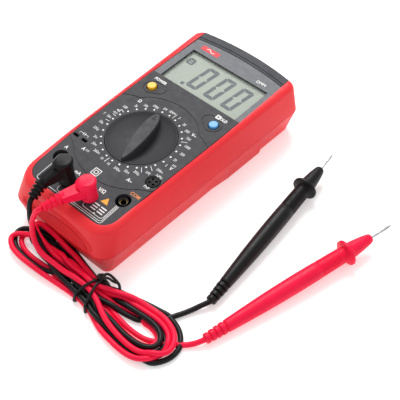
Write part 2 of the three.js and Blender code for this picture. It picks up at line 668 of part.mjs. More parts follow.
function buildHoldSwitch() {
  const base = BOARD_TOP + 0.2;
  const body = box([BUTTON.x - 3, BUTTON.y - 3, base], [BUTTON.x + 3, BUTTON.y + 3, base + 3.4]);
  return union(body, post(BUTTON.x, BUTTON.y, base + 3, base + 4.6, 1.7, 16));
}

// ---------------------------------------------------------------- sockets
function buildJackSleeve({ x, y }) {
  const top = panelTop(y) - PANEL_THICK - 0.8;
  const innerTop = panelTop(y) - 1;
  const wall = 2.55;
  const profile = [
    [wall, SLEEVE_BOTTOM], [SLEEVE_OUTER, SLEEVE_BOTTOM], [SLEEVE_OUTER, top], [JACK_HOLE, top],
    [JACK_HOLE, SLEEVE_BOTTOM + 2], [JACK_INNER, SLEEVE_BOTTOM + 2], [JACK_INNER, innerTop],
    [wall, innerTop], [wall, SLEEVE_BOTTOM],
  ];
  return turned(profile, x, y, 20);
}

function buildJackTube({ x, y }) {
  const top = panelTop(y) - 1.8;
  const bottom = SLEEVE_BOTTOM - 2;
  const profile = [[JACK_BORE, bottom], [2.4, bottom], [2.4, top], [JACK_BORE, top], [JACK_BORE, bottom]];
  return turned(profile, x, y, 14);
}

function buildTransistorSocket() {
  const { x, y, radius, top, holePitch, holeRadius } = TRANSISTOR;
  const profile = [[0, 28.5], [radius, 28.5], [radius, top - 0.5], [radius - 0.5, top], [radius - 1, top],
    [radius - 1.3, top - 0.35], [0, top - 0.35]];
  const holes = [[-1, -1], [1, -1], [1, 1], [-1, 1]].map(([i, j]) =>
    post(x + (i * holePitch) / 2, y + (j * holePitch) / 2, 30, 40, holeRadius, 12),
  );
  return cut(turned(profile, x, y, 28), ...holes);
}

function buildCapacitorSocket() {
  const { x, y, pitch, slotWidth, slotDepth, bodyWidth, bodyDepth } = CAPACITOR;
  const top = PANEL_TOP - PANEL_THICK - 0.4;
  const body = box([x - bodyWidth / 2, y - bodyDepth / 2, 28.5], [x + bodyWidth / 2, y + bodyDepth / 2, top]);
  const slots = [-1, 1].map((side) => {
    const cx = x + (side * pitch) / 2;
    return box([cx - slotWidth / 2 + 0.3, y - slotDepth / 2 + 0.4, 30], [cx + slotWidth / 2 - 0.3, y + slotDepth / 2 - 0.4, 40]);
  });
  return cut(body, ...slots);
}

// ---------------------------------------------------------------- boards and power
function buildMainBoard() {
  const bottom = BOARD_TOP - BOARD_THICK;
  const plate = box([-36.6, -73.5, bottom], [36.6, 74, BOARD_TOP]);
  const jackHoles = JACKS.map(({ x, y }) => post(x, y, 20, 30, SLEEVE_OUTER + GAP, 24));
  const bossHoles = SCREWS.map(({ x, y }) => post(x, y, 20, 30, BOSS + 0.6, 16));
  const hubHole = post(DIAL.x, DIAL.y, 20, 30, HUB_RADIUS + GAP, 24);
  return cut(plate, ...jackHoles, ...bossHoles, hubHole);
}

function buildFuse() {
  const profile = [[0, 0], [2.6, 0], [2.6, 4.6], [2.4, 4.8], [2.4, 15.2], [2.6, 15.4], [2.6, 20], [0, 20]];
  return turnedAlong(profile, new THREE.Vector3(-30, -30, 20.2), new THREE.Vector3(-30, 0, 20.2), 16);
}

function buildFuseClip(y) {
  const outer = box([-33.4, y, 17], [-26.6, y + 4, BOARD_TOP - BOARD_THICK - 0.2]);
  const seat = box([-32.9, y - 1, 16], [-27.1, y + 5, 23.6]);
  return cut(outer, seat);
}

// Thick resistance wire that carries the 10 A current.
function buildShunt() {
  const z = 15;
  return cord([[-19, -58, 23.9], [-19, -58, 18], [-17, -58, z], [-8, -58, z], [-6, -58, 18], [-6, -58, 23.9]], 0.9, 8);
}

function buildBattery() {
  const { width, depth, height, y, z } = BATTERY;
  const body = box([-width / 2 + 3, y - depth / 2, z], [width / 2, y + depth / 2, z + height]);
  const posts = [-6.4, 6.4].map((offset) => {
    const geometry = new THREE.CylinderGeometry(2.9, 2.9, 3, 16);
    geometry.rotateZ(Math.PI / 2);
    geometry.translate(-width / 2 + 1.6, y + offset, z + height / 2);
    return toSolid(geometry);
  });
  return union(body, ...posts);
}

function buildSnapConnector() {
  const { width, y, z, height } = BATTERY;
  return box([-width / 2 - 3, y - 12, WELL_TOP + GAP], [-width / 2 - 0.3, y + 12, z + height - 3]);
}

function buildBatteryDoor() {
  const plate = box([-DOOR.halfWidth, DOOR.front, 0], [DOOR.halfWidth, DOOR.back, DOOR_THICK]);
  return cut(plate, post(0, DOOR.screwY, -1, 1, 2.6, 16), post(0, DOOR.screwY, 0, 3, 1.4, 12));
}

function buildDoorScrew() {
  return turned(screwProfile(2.3, 1.1, 0.1, 0.8, 6.3), 0, DOOR.screwY, 12);
}

// ---------------------------------------------------------------- tilt stand
function buildTiltStand() {
  const { halfWidth, hingeY, hingeZ, foot, thick } = STAND;
  const bottom = 0.4;
  const plate = box([-halfWidth, foot, bottom], [halfWidth, hingeY, bottom + thick]);
  const window = box([-halfWidth + 8, foot + 12, -1], [halfWidth - 8, hingeY - 12, 5]);
  const barrel = new THREE.CylinderGeometry(1.9, 1.9, 2 * halfWidth, 16);
  barrel.rotateZ(Math.PI / 2);
  barrel.translate(0, hingeY, hingeZ);
  const grips = [0, 1, 2].map((i) => {
    const y = foot + 2 + i * 2.4;
    return box([-7, y, bottom - 1], [7, y + 1, bottom + 0.5]);
  });
  return cut(union(plate, toSolid(barrel)), window, ...grips);
}

// ---------------------------------------------------------------- test leads
// Raised rings down a strain relief, from its root to the cord.
function reliefProfile(start, length, rootRadius, endRadius, bore) {
  const rings = 4;
  const profile = [];
  for (let i = 0; i < rings; i++) {
    const at = start + (length * i) / rings;
    const radius = rootRadius + ((endRadius - rootRadius) * i) / (rings - 1);
    const step = length / rings;
    profile.push([radius * 0.72, at], [radius * 0.72, at + step * 0.36]);
    profile.push([radius, at + step * 0.42], [radius, at + step * 0.96]);
  }
  profile.push([bore, start + length]);
  return profile;
}

const PLUGS = {
  black: {
    axis: new THREE.Vector3(JACKS[1].x, JACKS[1].y, 0),
    head: new THREE.Vector3(-9.4, -68.1, 55),
    elbow: new THREE.Vector3(-12.3, -83.8, 46),
    exit: new THREE.Vector3(-12.3, -92.8, 40.5),
    ringRadii: [4.1, 3.4],
  },
  red: {
    axis: new THREE.Vector3(JACKS[2].x, JACKS[2].y, 0),
    head: new THREE.Vector3(10.1, -68.2, 51.2),
    elbow: new THREE.Vector3(4.8, -83.9, 45.2),
    exit: new THREE.Vector3(-0.6, -94.8, 41.8),
    ringRadii: [3.7, 2.8],
  },
};

// The oval cap that leans down toward the arm.
function plugCap(head, along) {
  const disc = (reach, fall, radius) => {
    const [x, y, top] = [head.x + along.x * reach, head.y + along.y * reach, head.z - fall];
    return union(post(x, y, top - 2.6, top - 0.8, radius, 36), post(x, y, top - 1, top, radius - 0.9, 36));
  };
  return hull(disc(0, 0, CAP_RADIUS), disc(CAP_REACH, 0.7, CAP_RADIUS - 0.3));
}

// The flat-topped arm from the head to the strain relief.
function plugArm(head, elbow, along) {
  const end = box([-ARM.halfWidth, -0.6, -ARM.below], [ARM.halfWidth, 0.6, ARM.above])
    .rotate([0, 0, THREE.MathUtils.radToDeg(Math.atan2(-along.x, along.y))])
    .translate(elbow.toArray());
  return hull(post(head.x, head.y, head.z - 11.5, head.z - 3.2, ARM.rootRadius, 28), end);
}

function buildPlug({ axis, head, elbow, exit, ringRadii }) {
  const base = panelTop(axis.y) + 0.4;
  const profile = [
    [0, base + 5.5], [PIN_RADIUS + GAP, base + 5.5], [PIN_RADIUS + GAP, base - 1], [JACK_INNER + GAP, base - 1],
    [JACK_INNER + GAP, 20], [JACK_HOLE - 0.35, 20], [JACK_HOLE - 0.35, base + 1.5], [0, base + 6.5],
  ];
  const stem = turned(profile, axis.x, axis.y, 28);
  const shaftProfile = [
    [0, base], [5.3, base], [5.3, base + 1.2], [HEAD_RADIUS, base + 1.6], [HEAD_RADIUS, head.z - 2], [0, head.z - 2],
  ];
  const shaft = union(stem, turned(shaftProfile, head.x, head.y, 32));
  const pinHole = post(axis.x, axis.y, base - 2, base + 5.5, PIN_RADIUS + GAP, 24);
  const along = new THREE.Vector3(elbow.x - head.x, elbow.y - head.y, 0).normalize();
  const relief = elbow.distanceTo(exit);
  const rings = [
    [0, -2.2], [2.6, -2.2], [2.6, 0], ...reliefProfile(0, relief, ...ringRadii, LEAD / 2 + GAP), [0, relief],
  ];
  const tail = turnedAlong(rings, elbow, exit, 20);
  return cut(union(shaft, plugCap(head, along), plugArm(head, elbow, along), tail), pinHole);
}

function buildPlugPin({ axis }) {
  const top = panelTop(axis.y) + 5.3;
  const profile = [[0, 15], [1.3, 15], [PIN_RADIUS, 16.5], [PIN_RADIUS, top], [0, top]];
  return turned(profile, axis.x, axis.y, 16);
}

// Cord points from each strain relief down to the top of the hank, and out again to each probe.
const BLACK_IN = [[-11.9, -96.3, 36], [-11, -98.8, 28.5], [-10.2, -99.2, 18], [-9, -99, 13]];
const RED_IN = [[-4.6, -98.3, 36.4], [-6.2, -101.6, 27], [-4.6, -103.8, 18], [-2, -104.8, 13]];
const BLACK_OUT = [[90.3, -80.2, 1.9], [92, -74.6, 2.1], [95.7, -67.2, 3], [98.7, -61.4, 3.7]];
const RED_OUT = [[109.9, -89.6, 1.9], [111.2, -87.4, 2.5], [113.2, -84.2, 3.3], [113.9, -82.8, 3.6]];

// A lead that leaves a plug's strain relief straight before it bends.
function leadFromPlug({ elbow, exit }, points) {
  const ahead = new THREE.Vector3().subVectors(exit, elbow).normalize();
  const start = [0.4, 1.8].map((step) => exit.clone().addScaledVector(ahead, step).toArray());
  return cord([...start, ...points]);
}

const HANK_TOP = 10.4;
const HANK_OUTER = [
  [-30.7, -98], [-28.4, -92], [-21, -88.9], [-12, -88.5], [4, -89.2], [22, -91.6], [36, -92.4], [50, -89.6],
  [64, -85.2], [80, -81.8], [92, -82.4], [102.4, -87], [108.6, -94], [110.8, -103.2], [107, -111.4], [99.4, -116.4],
  [87, -119.2], [74, -118.6], [58, -114.6], [44, -110.6], [28, -112.4], [9, -113.6], [-4, -114.3], [-19, -112],
  [-28, -106.6],
];
const HANK_LEFT_HOLE = [[-20, -101], [-14, -98.4], [-4, -99], [4, -101.6], [-4, -104.6], [-14, -104.8]];
const HANK_RIGHT_HOLE = [[62, -101], [74, -97.6], [88, -96.8], [95, -99.4], [90, -102.4], [76, -103.6]];

const closedCurve = (points, steps) => {
  const curve = new THREE.CatmullRomCurve3(points.map(([x, y]) => new THREE.Vector3(x, y, 0)), true);
  return curve.getPoints(steps).slice(0, -1).map((p) => new THREE.Vector2(p.x, p.y));
};

function buildHank() {
  const holes = [HANK_LEFT_HOLE, HANK_RIGHT_HOLE].map((hole) => raised(closedCurve(hole, 20), -1, HANK_TOP + 1));
  return cut(raised(closedCurve(HANK_OUTER, 64), 0.2, HANK_TOP), ...holes);
}

// The twisted tie round the hank's waist, with its knot on top.
const TIE = { x: 42.4, halfWidth: 1.8, y0: -113.2, y1: -89.4, thick: 1.6, knotY: -95, knotRadius: 2.4 };

function buildTie() {
  const { x, halfWidth, y0, y1, thick, knotY, knotRadius } = TIE;
  const outer = box([x - halfWidth, y0, 0.1], [x + halfWidth, y1, HANK_TOP + thick]);
  const seat = raised(closedCurve(HANK_OUTER, 64), -1, HANK_TOP + GAP);
  const clear = box([x - 4, y0 + thick, -1], [x + 4, y1 - thick, HANK_TOP + GAP]);
  const knot = new THREE.SphereGeometry(knotRadius, 16, 12);
  knot.scale(1.4, 1, 0.8);
  knot.translate(x, knotY, HANK_TOP + thick);
  return cut(union(outer, toSolid(knot)), seat, clear);
}

const PROBES = {
  black: { tail: new THREE.Vector3(99, -60.6, 3.9), tip: new THREE.Vector3(84, 73.4, 9.5) },
  red: { tail: new THREE.Vector3(114.2, -81.9, 3.9), tip: new THREE.Vector3(146.6, 50.4, 9.5) },
};
const RELIEF_LENGTH = 14;
const GUARD_AT = 100;
const CONE_END = 120.6;
const HANDLE_SHAPE = [[3.95, 16], [4.5, 28], [5, 40], [5.3, 52], [5.45, 64], [5.4, 76]];
const PIN_BURIED = 8;
const GRIP_RIBS = 4;

function buildProbe({ tail, tip }) {
  const ribs = [];
  for (let i = 0; i < GRIP_RIBS; i++) {
    const at = GUARD_AT - 13 + i * 3;
    ribs.push([5.1, at], [5.1, at + 1.8], [4.7, at + 1.9], [4.7, at + 2.9]);
  }
  const profile = [
    [0, 4], [LEAD / 2 + GAP, 4], [LEAD / 2 + GAP, 0],
    ...reliefProfile(0, RELIEF_LENGTH, 3.1, 3.8, 3.5).slice(0, -1),
    [3.6, RELIEF_LENGTH + 0.5],
    ...HANDLE_SHAPE,
    [5.15, GUARD_AT - 13.5],
    ...ribs,
    [5, GUARD_AT - 0.5], [8.1, GUARD_AT], [8.1, GUARD_AT + 2], [5.4, GUARD_AT + 3.2],
    [4.8, GUARD_AT + 7.6], [3.8, CONE_END - 4.6], [3.2, CONE_END - 1.2], [2.3, CONE_END],
    [PROBE_PIN + 0.2, CONE_END], [PROBE_PIN + 0.2, CONE_END - PIN_BURIED], [0, CONE_END - PIN_BURIED],
  ];
  return turnedAlong(profile, tail, tip, 16);
}

function buildProbePin({ tail, tip }) {
  const length = tail.distanceTo(tip);
  const start = CONE_END - PIN_BURIED + 0.3;
  const profile = [[0, start], [PROBE_PIN, start], [PROBE_PIN, length - 3], [0.25, length], [0, length]];
  return turnedAlong(profile, tail, tip, 12);
}

// ---------------------------------------------------------------- assembly
const COLOURS = {
  red: 0xe0424a, darkRed: 0xc8323c, panel: 0x55565a, black: 0x26262a, knob: 0x4c4d51, bezel: 0x8a8e92,
  lcd: 0xc3cdbe, clear: 0xe6ecec, white: 0xe8e8e4, yellow: 0xf8c22c, blue: 0x78b9e6, brass: 0xc8a24a,
  steel: 0xb8bcc0, board: 0x2c6b45, ceramic: 0xe6e0d2, battery: 0x2f3440, lead: 0xf23058, rubber: 0x3a3a3e,
};

const root = new THREE.Group();

function place(name, solid, colour) {
  const material = new THREE.MeshStandardMaterial({ color: COLOURS[colour], roughness: 0.6 });
  const mesh = new THREE.Mesh(toGeometry(solid), material);
  mesh.name = name;
  root.add(mesh);
}

const onDial = (solid) => solid.translate([DIAL.x, DIAL.y, 0]);
const turnedBar = (solid) => onDial(solid.rotate([0, 0, THREE.MathUtils.radToDeg(BAR_TURN)]));

place("front_shell", buildFrontShell(), "red");
place("rear_shell", buildRearShell(), "darkRed");
place("front_panel", buildPanel(), "panel");
place("end_cap", buildEndCap(), "panel");
place("window_frame", buildWindowFrame(), "bezel");
place("window_pane", buildWindowPane(), "clear");
place("lcd_cell", buildLcdCell(), "lcd");
place("lcd_holder", buildLcdHolder(), "white");
place("zebra_strip", box([-27, 35.7, BOARD_TOP + 0.2], [29, 37.9, LCD_CELL.base - 0.2]), "rubber");

place("dial_knob", turnedBar(buildKnob()), "knob");
place("wiper_carrier", turnedBar(buildWiperCarrier()), "white");
place("wiper_contacts", turnedBar(buildWiperContacts()), "brass");
place("detent_ball_left", turnedBar(buildBall(Math.PI)), "steel");
place("detent_ball_right", turnedBar(buildBall(0)), "steel");
place("dial_retainer", turnedBar(buildRetainer()), "steel");
place("detent_ring", buildDetentRing(), "white");

place("power_button", buildPowerKey(), "yellow");
place("power_switch", buildPowerSwitch(), "black");
place("hold_button", buildButtonCap(1, HOLD_TOP), "blue");
place("hold_switch", buildHoldSwitch(), "black");

for (const jack of JACKS) {
  place("jack_sleeve_" + jack.name, buildJackSleeve(jack), "black");
  place("jack_tube_" + jack.name, buildJackTube(jack), "brass");
}
place("transistor_socket", buildTransistorSocket(), "rubber");
place("capacitor_socket", buildCapacitorSocket(), "black");

place("main_board", buildMainBoard(), "board");
place("converter_chip", box([8, 44, BOARD_TOP + 0.2], [22, 58, BOARD_TOP + 2.2]), "black");
place("buzzer", post(18, -40, 20.4, BOARD_TOP - BOARD_THICK - 0.2, 10, 28), "black");
place("fuse", buildFuse(), "ceramic");
place("fuse_clip_rear", buildFuseClip(-29.6), "steel");
place("fuse_clip_front", buildFuseClip(-14.4), "steel");
place("shunt_wire", buildShunt(), "brass");
place("battery", buildBattery(), "battery");
place("snap_connector", buildSnapConnector(), "black");
place("battery_door", buildBatteryDoor(), "darkRed");
place("door_screw", buildDoorScrew(), "steel");
place("tilt_stand", buildTiltStand(), "darkRed");
SCREWS.forEach((screw, i) => place("case_screw_" + (i + 1), buildCaseScrew(screw), "steel"));

for (const colour of ["black", "red"]) {
  const shade = colour === "red" ? "lead" : "black";
  place(colour + "_plug", buildPlug(PLUGS[colour]), shade);
  place(colour + "_plug_pin", buildPlugPin(PLUGS[colour]), "steel");
  place(colour + "_probe", buildProbe(PROBES[colour]), shade);
  place(colour + "_probe_pin", buildProbePin(PROBES[colour]), "steel");
  place(colour + "_lead_in", leadFromPlug(PLUGS[colour], colour === "red" ? RED_IN : BLACK_IN), shade);
  place(colour + "_lead_out", cord(colour === "red" ? RED_OUT : BLACK_OUT), shade);
}
place("lead_hank", buildHank(), "black");
place("lead_tie", buildTie(), "black");

export default root;
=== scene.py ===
"""A handheld digital multimeter with two test leads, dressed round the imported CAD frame."""

import json
import math

import bpy
import numpy as np
from mathutils import Matrix, Vector


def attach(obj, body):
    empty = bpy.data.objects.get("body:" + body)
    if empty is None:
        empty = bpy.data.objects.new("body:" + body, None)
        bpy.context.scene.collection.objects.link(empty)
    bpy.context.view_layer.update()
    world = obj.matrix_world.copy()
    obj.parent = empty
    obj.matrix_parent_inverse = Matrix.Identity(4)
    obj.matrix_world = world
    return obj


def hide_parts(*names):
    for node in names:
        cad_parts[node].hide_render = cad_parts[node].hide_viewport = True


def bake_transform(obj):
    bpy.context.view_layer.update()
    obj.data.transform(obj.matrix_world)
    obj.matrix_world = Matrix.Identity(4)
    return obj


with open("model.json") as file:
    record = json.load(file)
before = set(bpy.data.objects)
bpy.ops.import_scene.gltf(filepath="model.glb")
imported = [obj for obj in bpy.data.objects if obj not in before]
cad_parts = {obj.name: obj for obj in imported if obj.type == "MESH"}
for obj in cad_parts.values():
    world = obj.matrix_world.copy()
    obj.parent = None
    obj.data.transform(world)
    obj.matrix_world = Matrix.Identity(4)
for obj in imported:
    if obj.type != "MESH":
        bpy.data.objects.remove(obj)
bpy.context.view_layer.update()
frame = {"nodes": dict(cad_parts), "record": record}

# ------------------------------------------------------------------ driving dimensions, in millimetres
MM = 0.001
PANEL_TOP = 37.5
DROOP_START = -22.0  # the Y where the panel starts to fall away toward the jack end
DROOP_RATE = 0.00078
WINDOW_TOP = 36.9
GLASS_TOP = 34.5
DIAL = (0.0, -14.25)

# The outside of the jack end: its Y at the floor, at the seam between the case halves and at the rim.
CASE_WALL_FLOOR = -84.8
CASE_WALL_SEAM = -89.5
CASE_WALL_RIM = -85.5
SEAM_Z = 17.5
RIM_Z = 34.5
CASE_HALF_WIDTH = 41.0

CORD = 3.4
CORD_RADIUS = CORD / 2
WAIST_X = 42.5  # where the bundle is tied

# Where the lead enters each probe, and a point on the probe's axis at its other end.
PROBES = {"black": ((99.0, -60.6, 3.9), (84.0, 73.4, 9.5)), "red": ((114.2, -81.9, 3.9), (146.6, 50.4, 9.5))}

# ------------------------------------------------------------------ studio, in metres and watts
CAMERA_PLACE = (0.3363, -0.3023, 0.4921)
CAMERA_TARGET = (0.0396, -0.0052, 0.0)
CAMERA_ROLL = 3.04  # degrees
CAMERA_LENS = 91.4
WORLD_STRENGTH = 0.68
KEY_PLACE = (-0.75, 0.8, 1.5)
KEY_SIZE = 1.1
KEY_POWER = 28.0
FLOOR_SIZE = 6.0
FLOOR_DROP = 0.0002  # below the object, so that the two never share a plane
FLOOR_GLOW = 0.35  # a light table, so that the shadows on it stay pale


def panel_top(y):
    """Height of the panel's face, which falls away toward the jack end."""
    return PANEL_TOP - (DROOP_RATE * (DROOP_START - y) ** 2 if y < DROOP_START else 0.0)


# ------------------------------------------------------------------ camera, light and floor
def aim(thing, place, target, roll=0.0):
    """Puts a camera or a light at a place, looking at a target."""
    turn = (Vector(target) - Vector(place)).to_track_quat("-Z", "Y").to_matrix()
    thing.location = place
    thing.rotation_euler = (turn @ Matrix.Rotation(-roll, 3, "Z")).to_euler()


def make_camera():
    data = bpy.data.cameras.new("camera")
    data.sensor_width = 36.0
    data.lens = CAMERA_LENS
    camera = bpy.data.objects.new("camera", data)
    bpy.context.scene.collection.objects.link(camera)
    aim(camera, CAMERA_PLACE, CAMERA_TARGET, math.radians(CAMERA_ROLL))
    bpy.context.scene.camera = camera


def make_key_light():
    """One broad light, high beyond the display end on the left."""
    data = bpy.data.lights.new("key", "AREA")
    data.shape = "DISK"
    data.size = KEY_SIZE
    data.energy = KEY_POWER
    light = bpy.data.objects.new("key", data)
    bpy.context.scene.collection.objects.link(light)
    aim(light, KEY_PLACE, (0.0, 0.0, 0.0))


def make_world():
    """Even white light from every side."""
    world = bpy.data.worlds.new("studio")
    bpy.context.scene.world = world
    world.use_nodes = True
    background = world.node_tree.nodes["Background"]
    background.inputs["Color"].default_value = (1.0, 1.0, 1.0, 1.0)
    background.inputs["Strength"].default_value = WORLD_STRENGTH


def make_floor():
    """A sheet of white paper that glows a little."""
    half = FLOOR_SIZE / 2
    corners = [(-half, -half, 0), (half, -half, 0), (half, half, 0), (-half, half, 0)]
    mesh = bpy.data.meshes.new("floor")
    mesh.from_pydata(corners, [], [(0, 1, 2, 3)])
    floor = bpy.data.objects.new("floor", mesh)
    bpy.context.scene.collection.objects.link(floor)
    floor.location.z = -FLOOR_DROP
    paper = moulded("floor_paper", (250, 249, 249), 0.7, grain=900, bump=0.0, variation=0.01)
    surface = paper.node_tree.nodes["Principled BSDF"]
    surface.inputs["Emission Color"].default_value = (1.0, 1.0, 1.0, 1.0)
    surface.inputs["Emission Strength"].default_value = FLOOR_GLOW
    mesh.materials.append(paper)


def make_studio():
    make_camera()
    make_world()
    make_key_light()
    make_floor()
    bpy.context.scene.view_settings.view_transform = "Standard"


# ------------------------------------------------------------------ materials
def linear(rgb):
    """Linear colour from the 0 to 255 values a screen shows."""
    def channel(value):
        value = value / 255
        return value / 12.92 if value <= 0.04045 else ((value + 0.055) / 1.055) ** 2.4
    return tuple(channel(v) for v in rgb)


class Shader:
    """A Principled material and short ways to add nodes to it."""

    def __init__(self, name):
        self.material = bpy.data.materials.new(name)
        self.material.use_nodes = True
        self.tree = self.material.node_tree
        self.surface = self.tree.nodes["Principled BSDF"]
        self.place = self.tree.nodes.new("ShaderNodeTexCoord").outputs["Object"]

    def add(self, kind, **inputs):
        node = self.tree.nodes.new(kind)
        for name, value in inputs.items():
            self.feed(node.inputs[name], value)
        return node

    def feed(self, socket, value):
        if isinstance(value, bpy.types.NodeSocket):
            self.tree.links.new(value, socket)
        elif isinstance(value, tuple) and len(value) == 3 and socket.type == "RGBA":
            socket.default_value = (*value, 1.0)
        else:
            socket.default_value = value

    def noise(self, scale, detail=2.0, stretch=None):
        place = self.place
        if stretch:
            mapping = self.add("ShaderNodeMapping", Vector=place)
            mapping.inputs["Scale"].default_value = stretch
            place = mapping.outputs["Vector"]
        return self.add("ShaderNodeTexNoise", Vector=place, Scale=scale, Detail=detail).outputs["Fac"]

    def spread(self, value, low, high, start=0.3, end=0.7):
        node = self.add("ShaderNodeMapRange", Value=value)
        for name, number in (("From Min", start), ("From Max", end), ("To Min", low), ("To Max", high)):
            node.inputs[name].default_value = number
        return node.outputs["Result"]

    def mix(self, factor, first, second):
        """A blend of two colours, whose sockets follow a Mix node's number and vector ones."""
        node = self.tree.nodes.new("ShaderNodeMix")
        node.data_type = "RGBA"
        sockets = [s for s in node.inputs if s.enabled]
        self.feed(sockets[0], factor)
        self.feed(node.inputs[6], first)
        self.feed(node.inputs[7], second)
        return node.outputs[2]

    def bump(self, height, strength, distance):
        node = self.add("ShaderNodeBump", Height=height, Strength=strength, Distance=distance)
        self.feed(self.surface.inputs["Normal"], node.outputs["Normal"])


def moulded(name, colour, roughness, grain=1400, bump=0.12, variation=0.05, coat=0.0, specular=0.3):
    """Moulded plastic or rubber: fine grain, faint mottling and uneven gloss."""
    shader = Shader(name)
    base = linear(colour)
    darker = tuple(c * (1 - variation) for c in base)
    lighter = tuple(min(1.0, c * (1 + variation) + 0.02 * variation) for c in base)
    mottle = shader.spread(shader.noise(38.0, 3.0), 0.0, 1.0)
    shader.feed(shader.surface.inputs["Base Color"], shader.mix(mottle, darker, lighter))
    gloss = shader.noise(260.0, 3.0)
    shader.feed(shader.surface.inputs["Roughness"], shader.spread(gloss, roughness - 0.05, roughness + 0.06))
    shader.surface.inputs["Coat Weight"].default_value = coat
    shader.surface.inputs["Coat Roughness"].default_value = 0.3
    shader.surface.inputs["Specular IOR Level"].default_value = specular
    if bump:
        shader.bump(shader.noise(grain, 2.0), bump, 0.0002)
    return shader.material


def metal(name, colour, roughness):
    """Bare metal with fine scratches along one way."""
    shader = Shader(name)
    shader.surface.inputs["Metallic"].default_value = 1.0
    base = linear(colour)
    dull = tuple(c * 0.8 for c in base)
    shader.feed(shader.surface.inputs["Base Color"], shader.mix(shader.noise(180.0, 3.0), dull, base))
    scratches = shader.noise(1500.0, 3.0, (1, 1, 0.1))
    gloss = shader.spread(scratches, roughness - 0.06, roughness + 0.1)
    shader.feed(shader.surface.inputs["Roughness"], gloss)
    shader.bump(scratches, 0.1, 0.0001)
    return shader.material


def clear_window(name):
    """Thin clear plastic with little gloss, so that the display shows through."""
    shader = Shader(name)
    shader.surface.inputs["Base Color"].default_value = (0.9, 0.93, 0.93, 1.0)
    shader.surface.inputs["Alpha"].default_value = 0.05
    shader.surface.inputs["Specular IOR Level"].default_value = 0.1
    shader.feed(shader.surface.inputs["Roughness"], shader.spread(shader.noise(30.0), 0.03, 0.09))
    return shader.material


def walls_painted_shaded(name, colour, wall_shade_colour, roughness):
    """A moulding with painted shade: its upright walls are coloured darker than its level faces."""
    shader = Shader(name)
    geometry = shader.tree.nodes.new("ShaderNodeNewGeometry")
    parts = shader.add("ShaderNodeSeparateXYZ", Vector=geometry.outputs["Normal"])
    paint_shade_mask = shader.spread(parts.outputs["Z"], 0.0, 1.0, 0.4, 0.8)
    darker = tuple(c * 0.94 for c in linear(colour))
    mottled = shader.mix(shader.noise(40.0), darker, linear(colour))
    # painted shade: upright walls take the darker wall colour, level faces the mottled one
    shader.feed(shader.surface.inputs["Base Color"], shader.mix(paint_shade_mask, linear(wall_shade_colour), mottled))
    gloss = shader.spread(shader.noise(300.0), roughness - 0.05, roughness + 0.05)
    shader.feed(shader.surface.inputs["Roughness"], gloss)
    shader.bump(shader.noise(1600.0), 0.08, 0.0002)
    return shader.material


def board_material(name):
    """Green solder resist over darker tracks."""
    shader = Shader(name)
    tracks = shader.add("ShaderNodeTexBrick", Vector=shader.place, Scale=90.0)
    tracks.inputs["Color1"].default_value = (0.02, 0.16, 0.05, 1)
    tracks.inputs["Color2"].default_value = (0.03, 0.22, 0.07, 1)
    tracks.inputs["Mortar"].default_value = (0.01, 0.09, 0.03, 1)
    shader.feed(shader.surface.inputs["Base Color"], tracks.outputs["Color"])
    shader.feed(shader.surface.inputs["Roughness"], shader.spread(shader.noise(200.0), 0.3, 0.45))
    return shader.material


MOULDINGS = {
    "case_red": dict(colour=(238, 46, 54), roughness=0.46, grain=1500, bump=0.16, variation=0.04),
    "case_back_red": dict(colour=(232, 45, 53), roughness=0.5, grain=1500, bump=0.18),
    "panel_grey": dict(colour=(60, 60, 64), roughness=0.62, grain=1800, bump=0.1),
    "cap_black": dict(colour=(60, 61, 66), roughness=0.58, grain=1700),
    "lcd_glass": dict(colour=(160, 168, 156), roughness=0.5, grain=2600, bump=0.02, variation=0.02,
                      specular=0.1),
    "inner_white": dict(colour=(225, 224, 218), roughness=0.45),
    "zebra_rubber": dict(colour=(70, 70, 72), roughness=0.7),
    "knob_black": dict(colour=(55, 55, 58), roughness=0.55, grain=1900, bump=0.1, variation=0.06),
    "button_yellow": dict(colour=(252, 190, 40), roughness=0.38, bump=0.05, variation=0.03, coat=0.2),
    "button_blue": dict(colour=(92, 165, 226), roughness=0.38, bump=0.05, variation=0.03, coat=0.2),
    "black_plastic": dict(colour=(13, 13, 14), roughness=0.52, variation=0.08, specular=0.16),
    "fuse_ceramic": dict(colour=(230, 224, 208), roughness=0.4),
    "battery_jacket": dict(colour=(62, 70, 86), roughness=0.35, coat=0.3),
    "lead_red": dict(colour=(246, 18, 66), roughness=0.42, grain=1100, bump=0.1, specular=0.2),
    "lead_black": dict(colour=(14, 14, 16), roughness=0.42, grain=1100, bump=0.1, variation=0.1,
                       specular=0.22),
    "tie_black": dict(colour=(20, 20, 22), roughness=0.38, grain=900, bump=0.2, variation=0.1),
}


def make_materials():
    """Every material of the CAD nodes and of the pieces that replace some of them, by slot."""
    materials = {name: moulded(name, **look) for name, look in MOULDINGS.items()}
    # the bezel's upright inner walls get painted shade in a darker grey
    materials["bezel_grey"] = walls_painted_shaded("bezel_grey", (86, 89, 95), (62, 65, 69), 0.5)
    materials["window_clear"] = clear_window("window_clear")
    materials["brass"] = metal("brass", (112, 92, 58), 0.42)
    materials["steel"] = metal("steel", (196, 198, 202), 0.24)
    materials["circuit_board"] = board_material("circuit_board")
    return materials


# ------------------------------------------------------------------ smooth shading of the CAD nodes
SMOOTH_BELOW = 38.0  # degrees
WELD = 0.000004  # metres


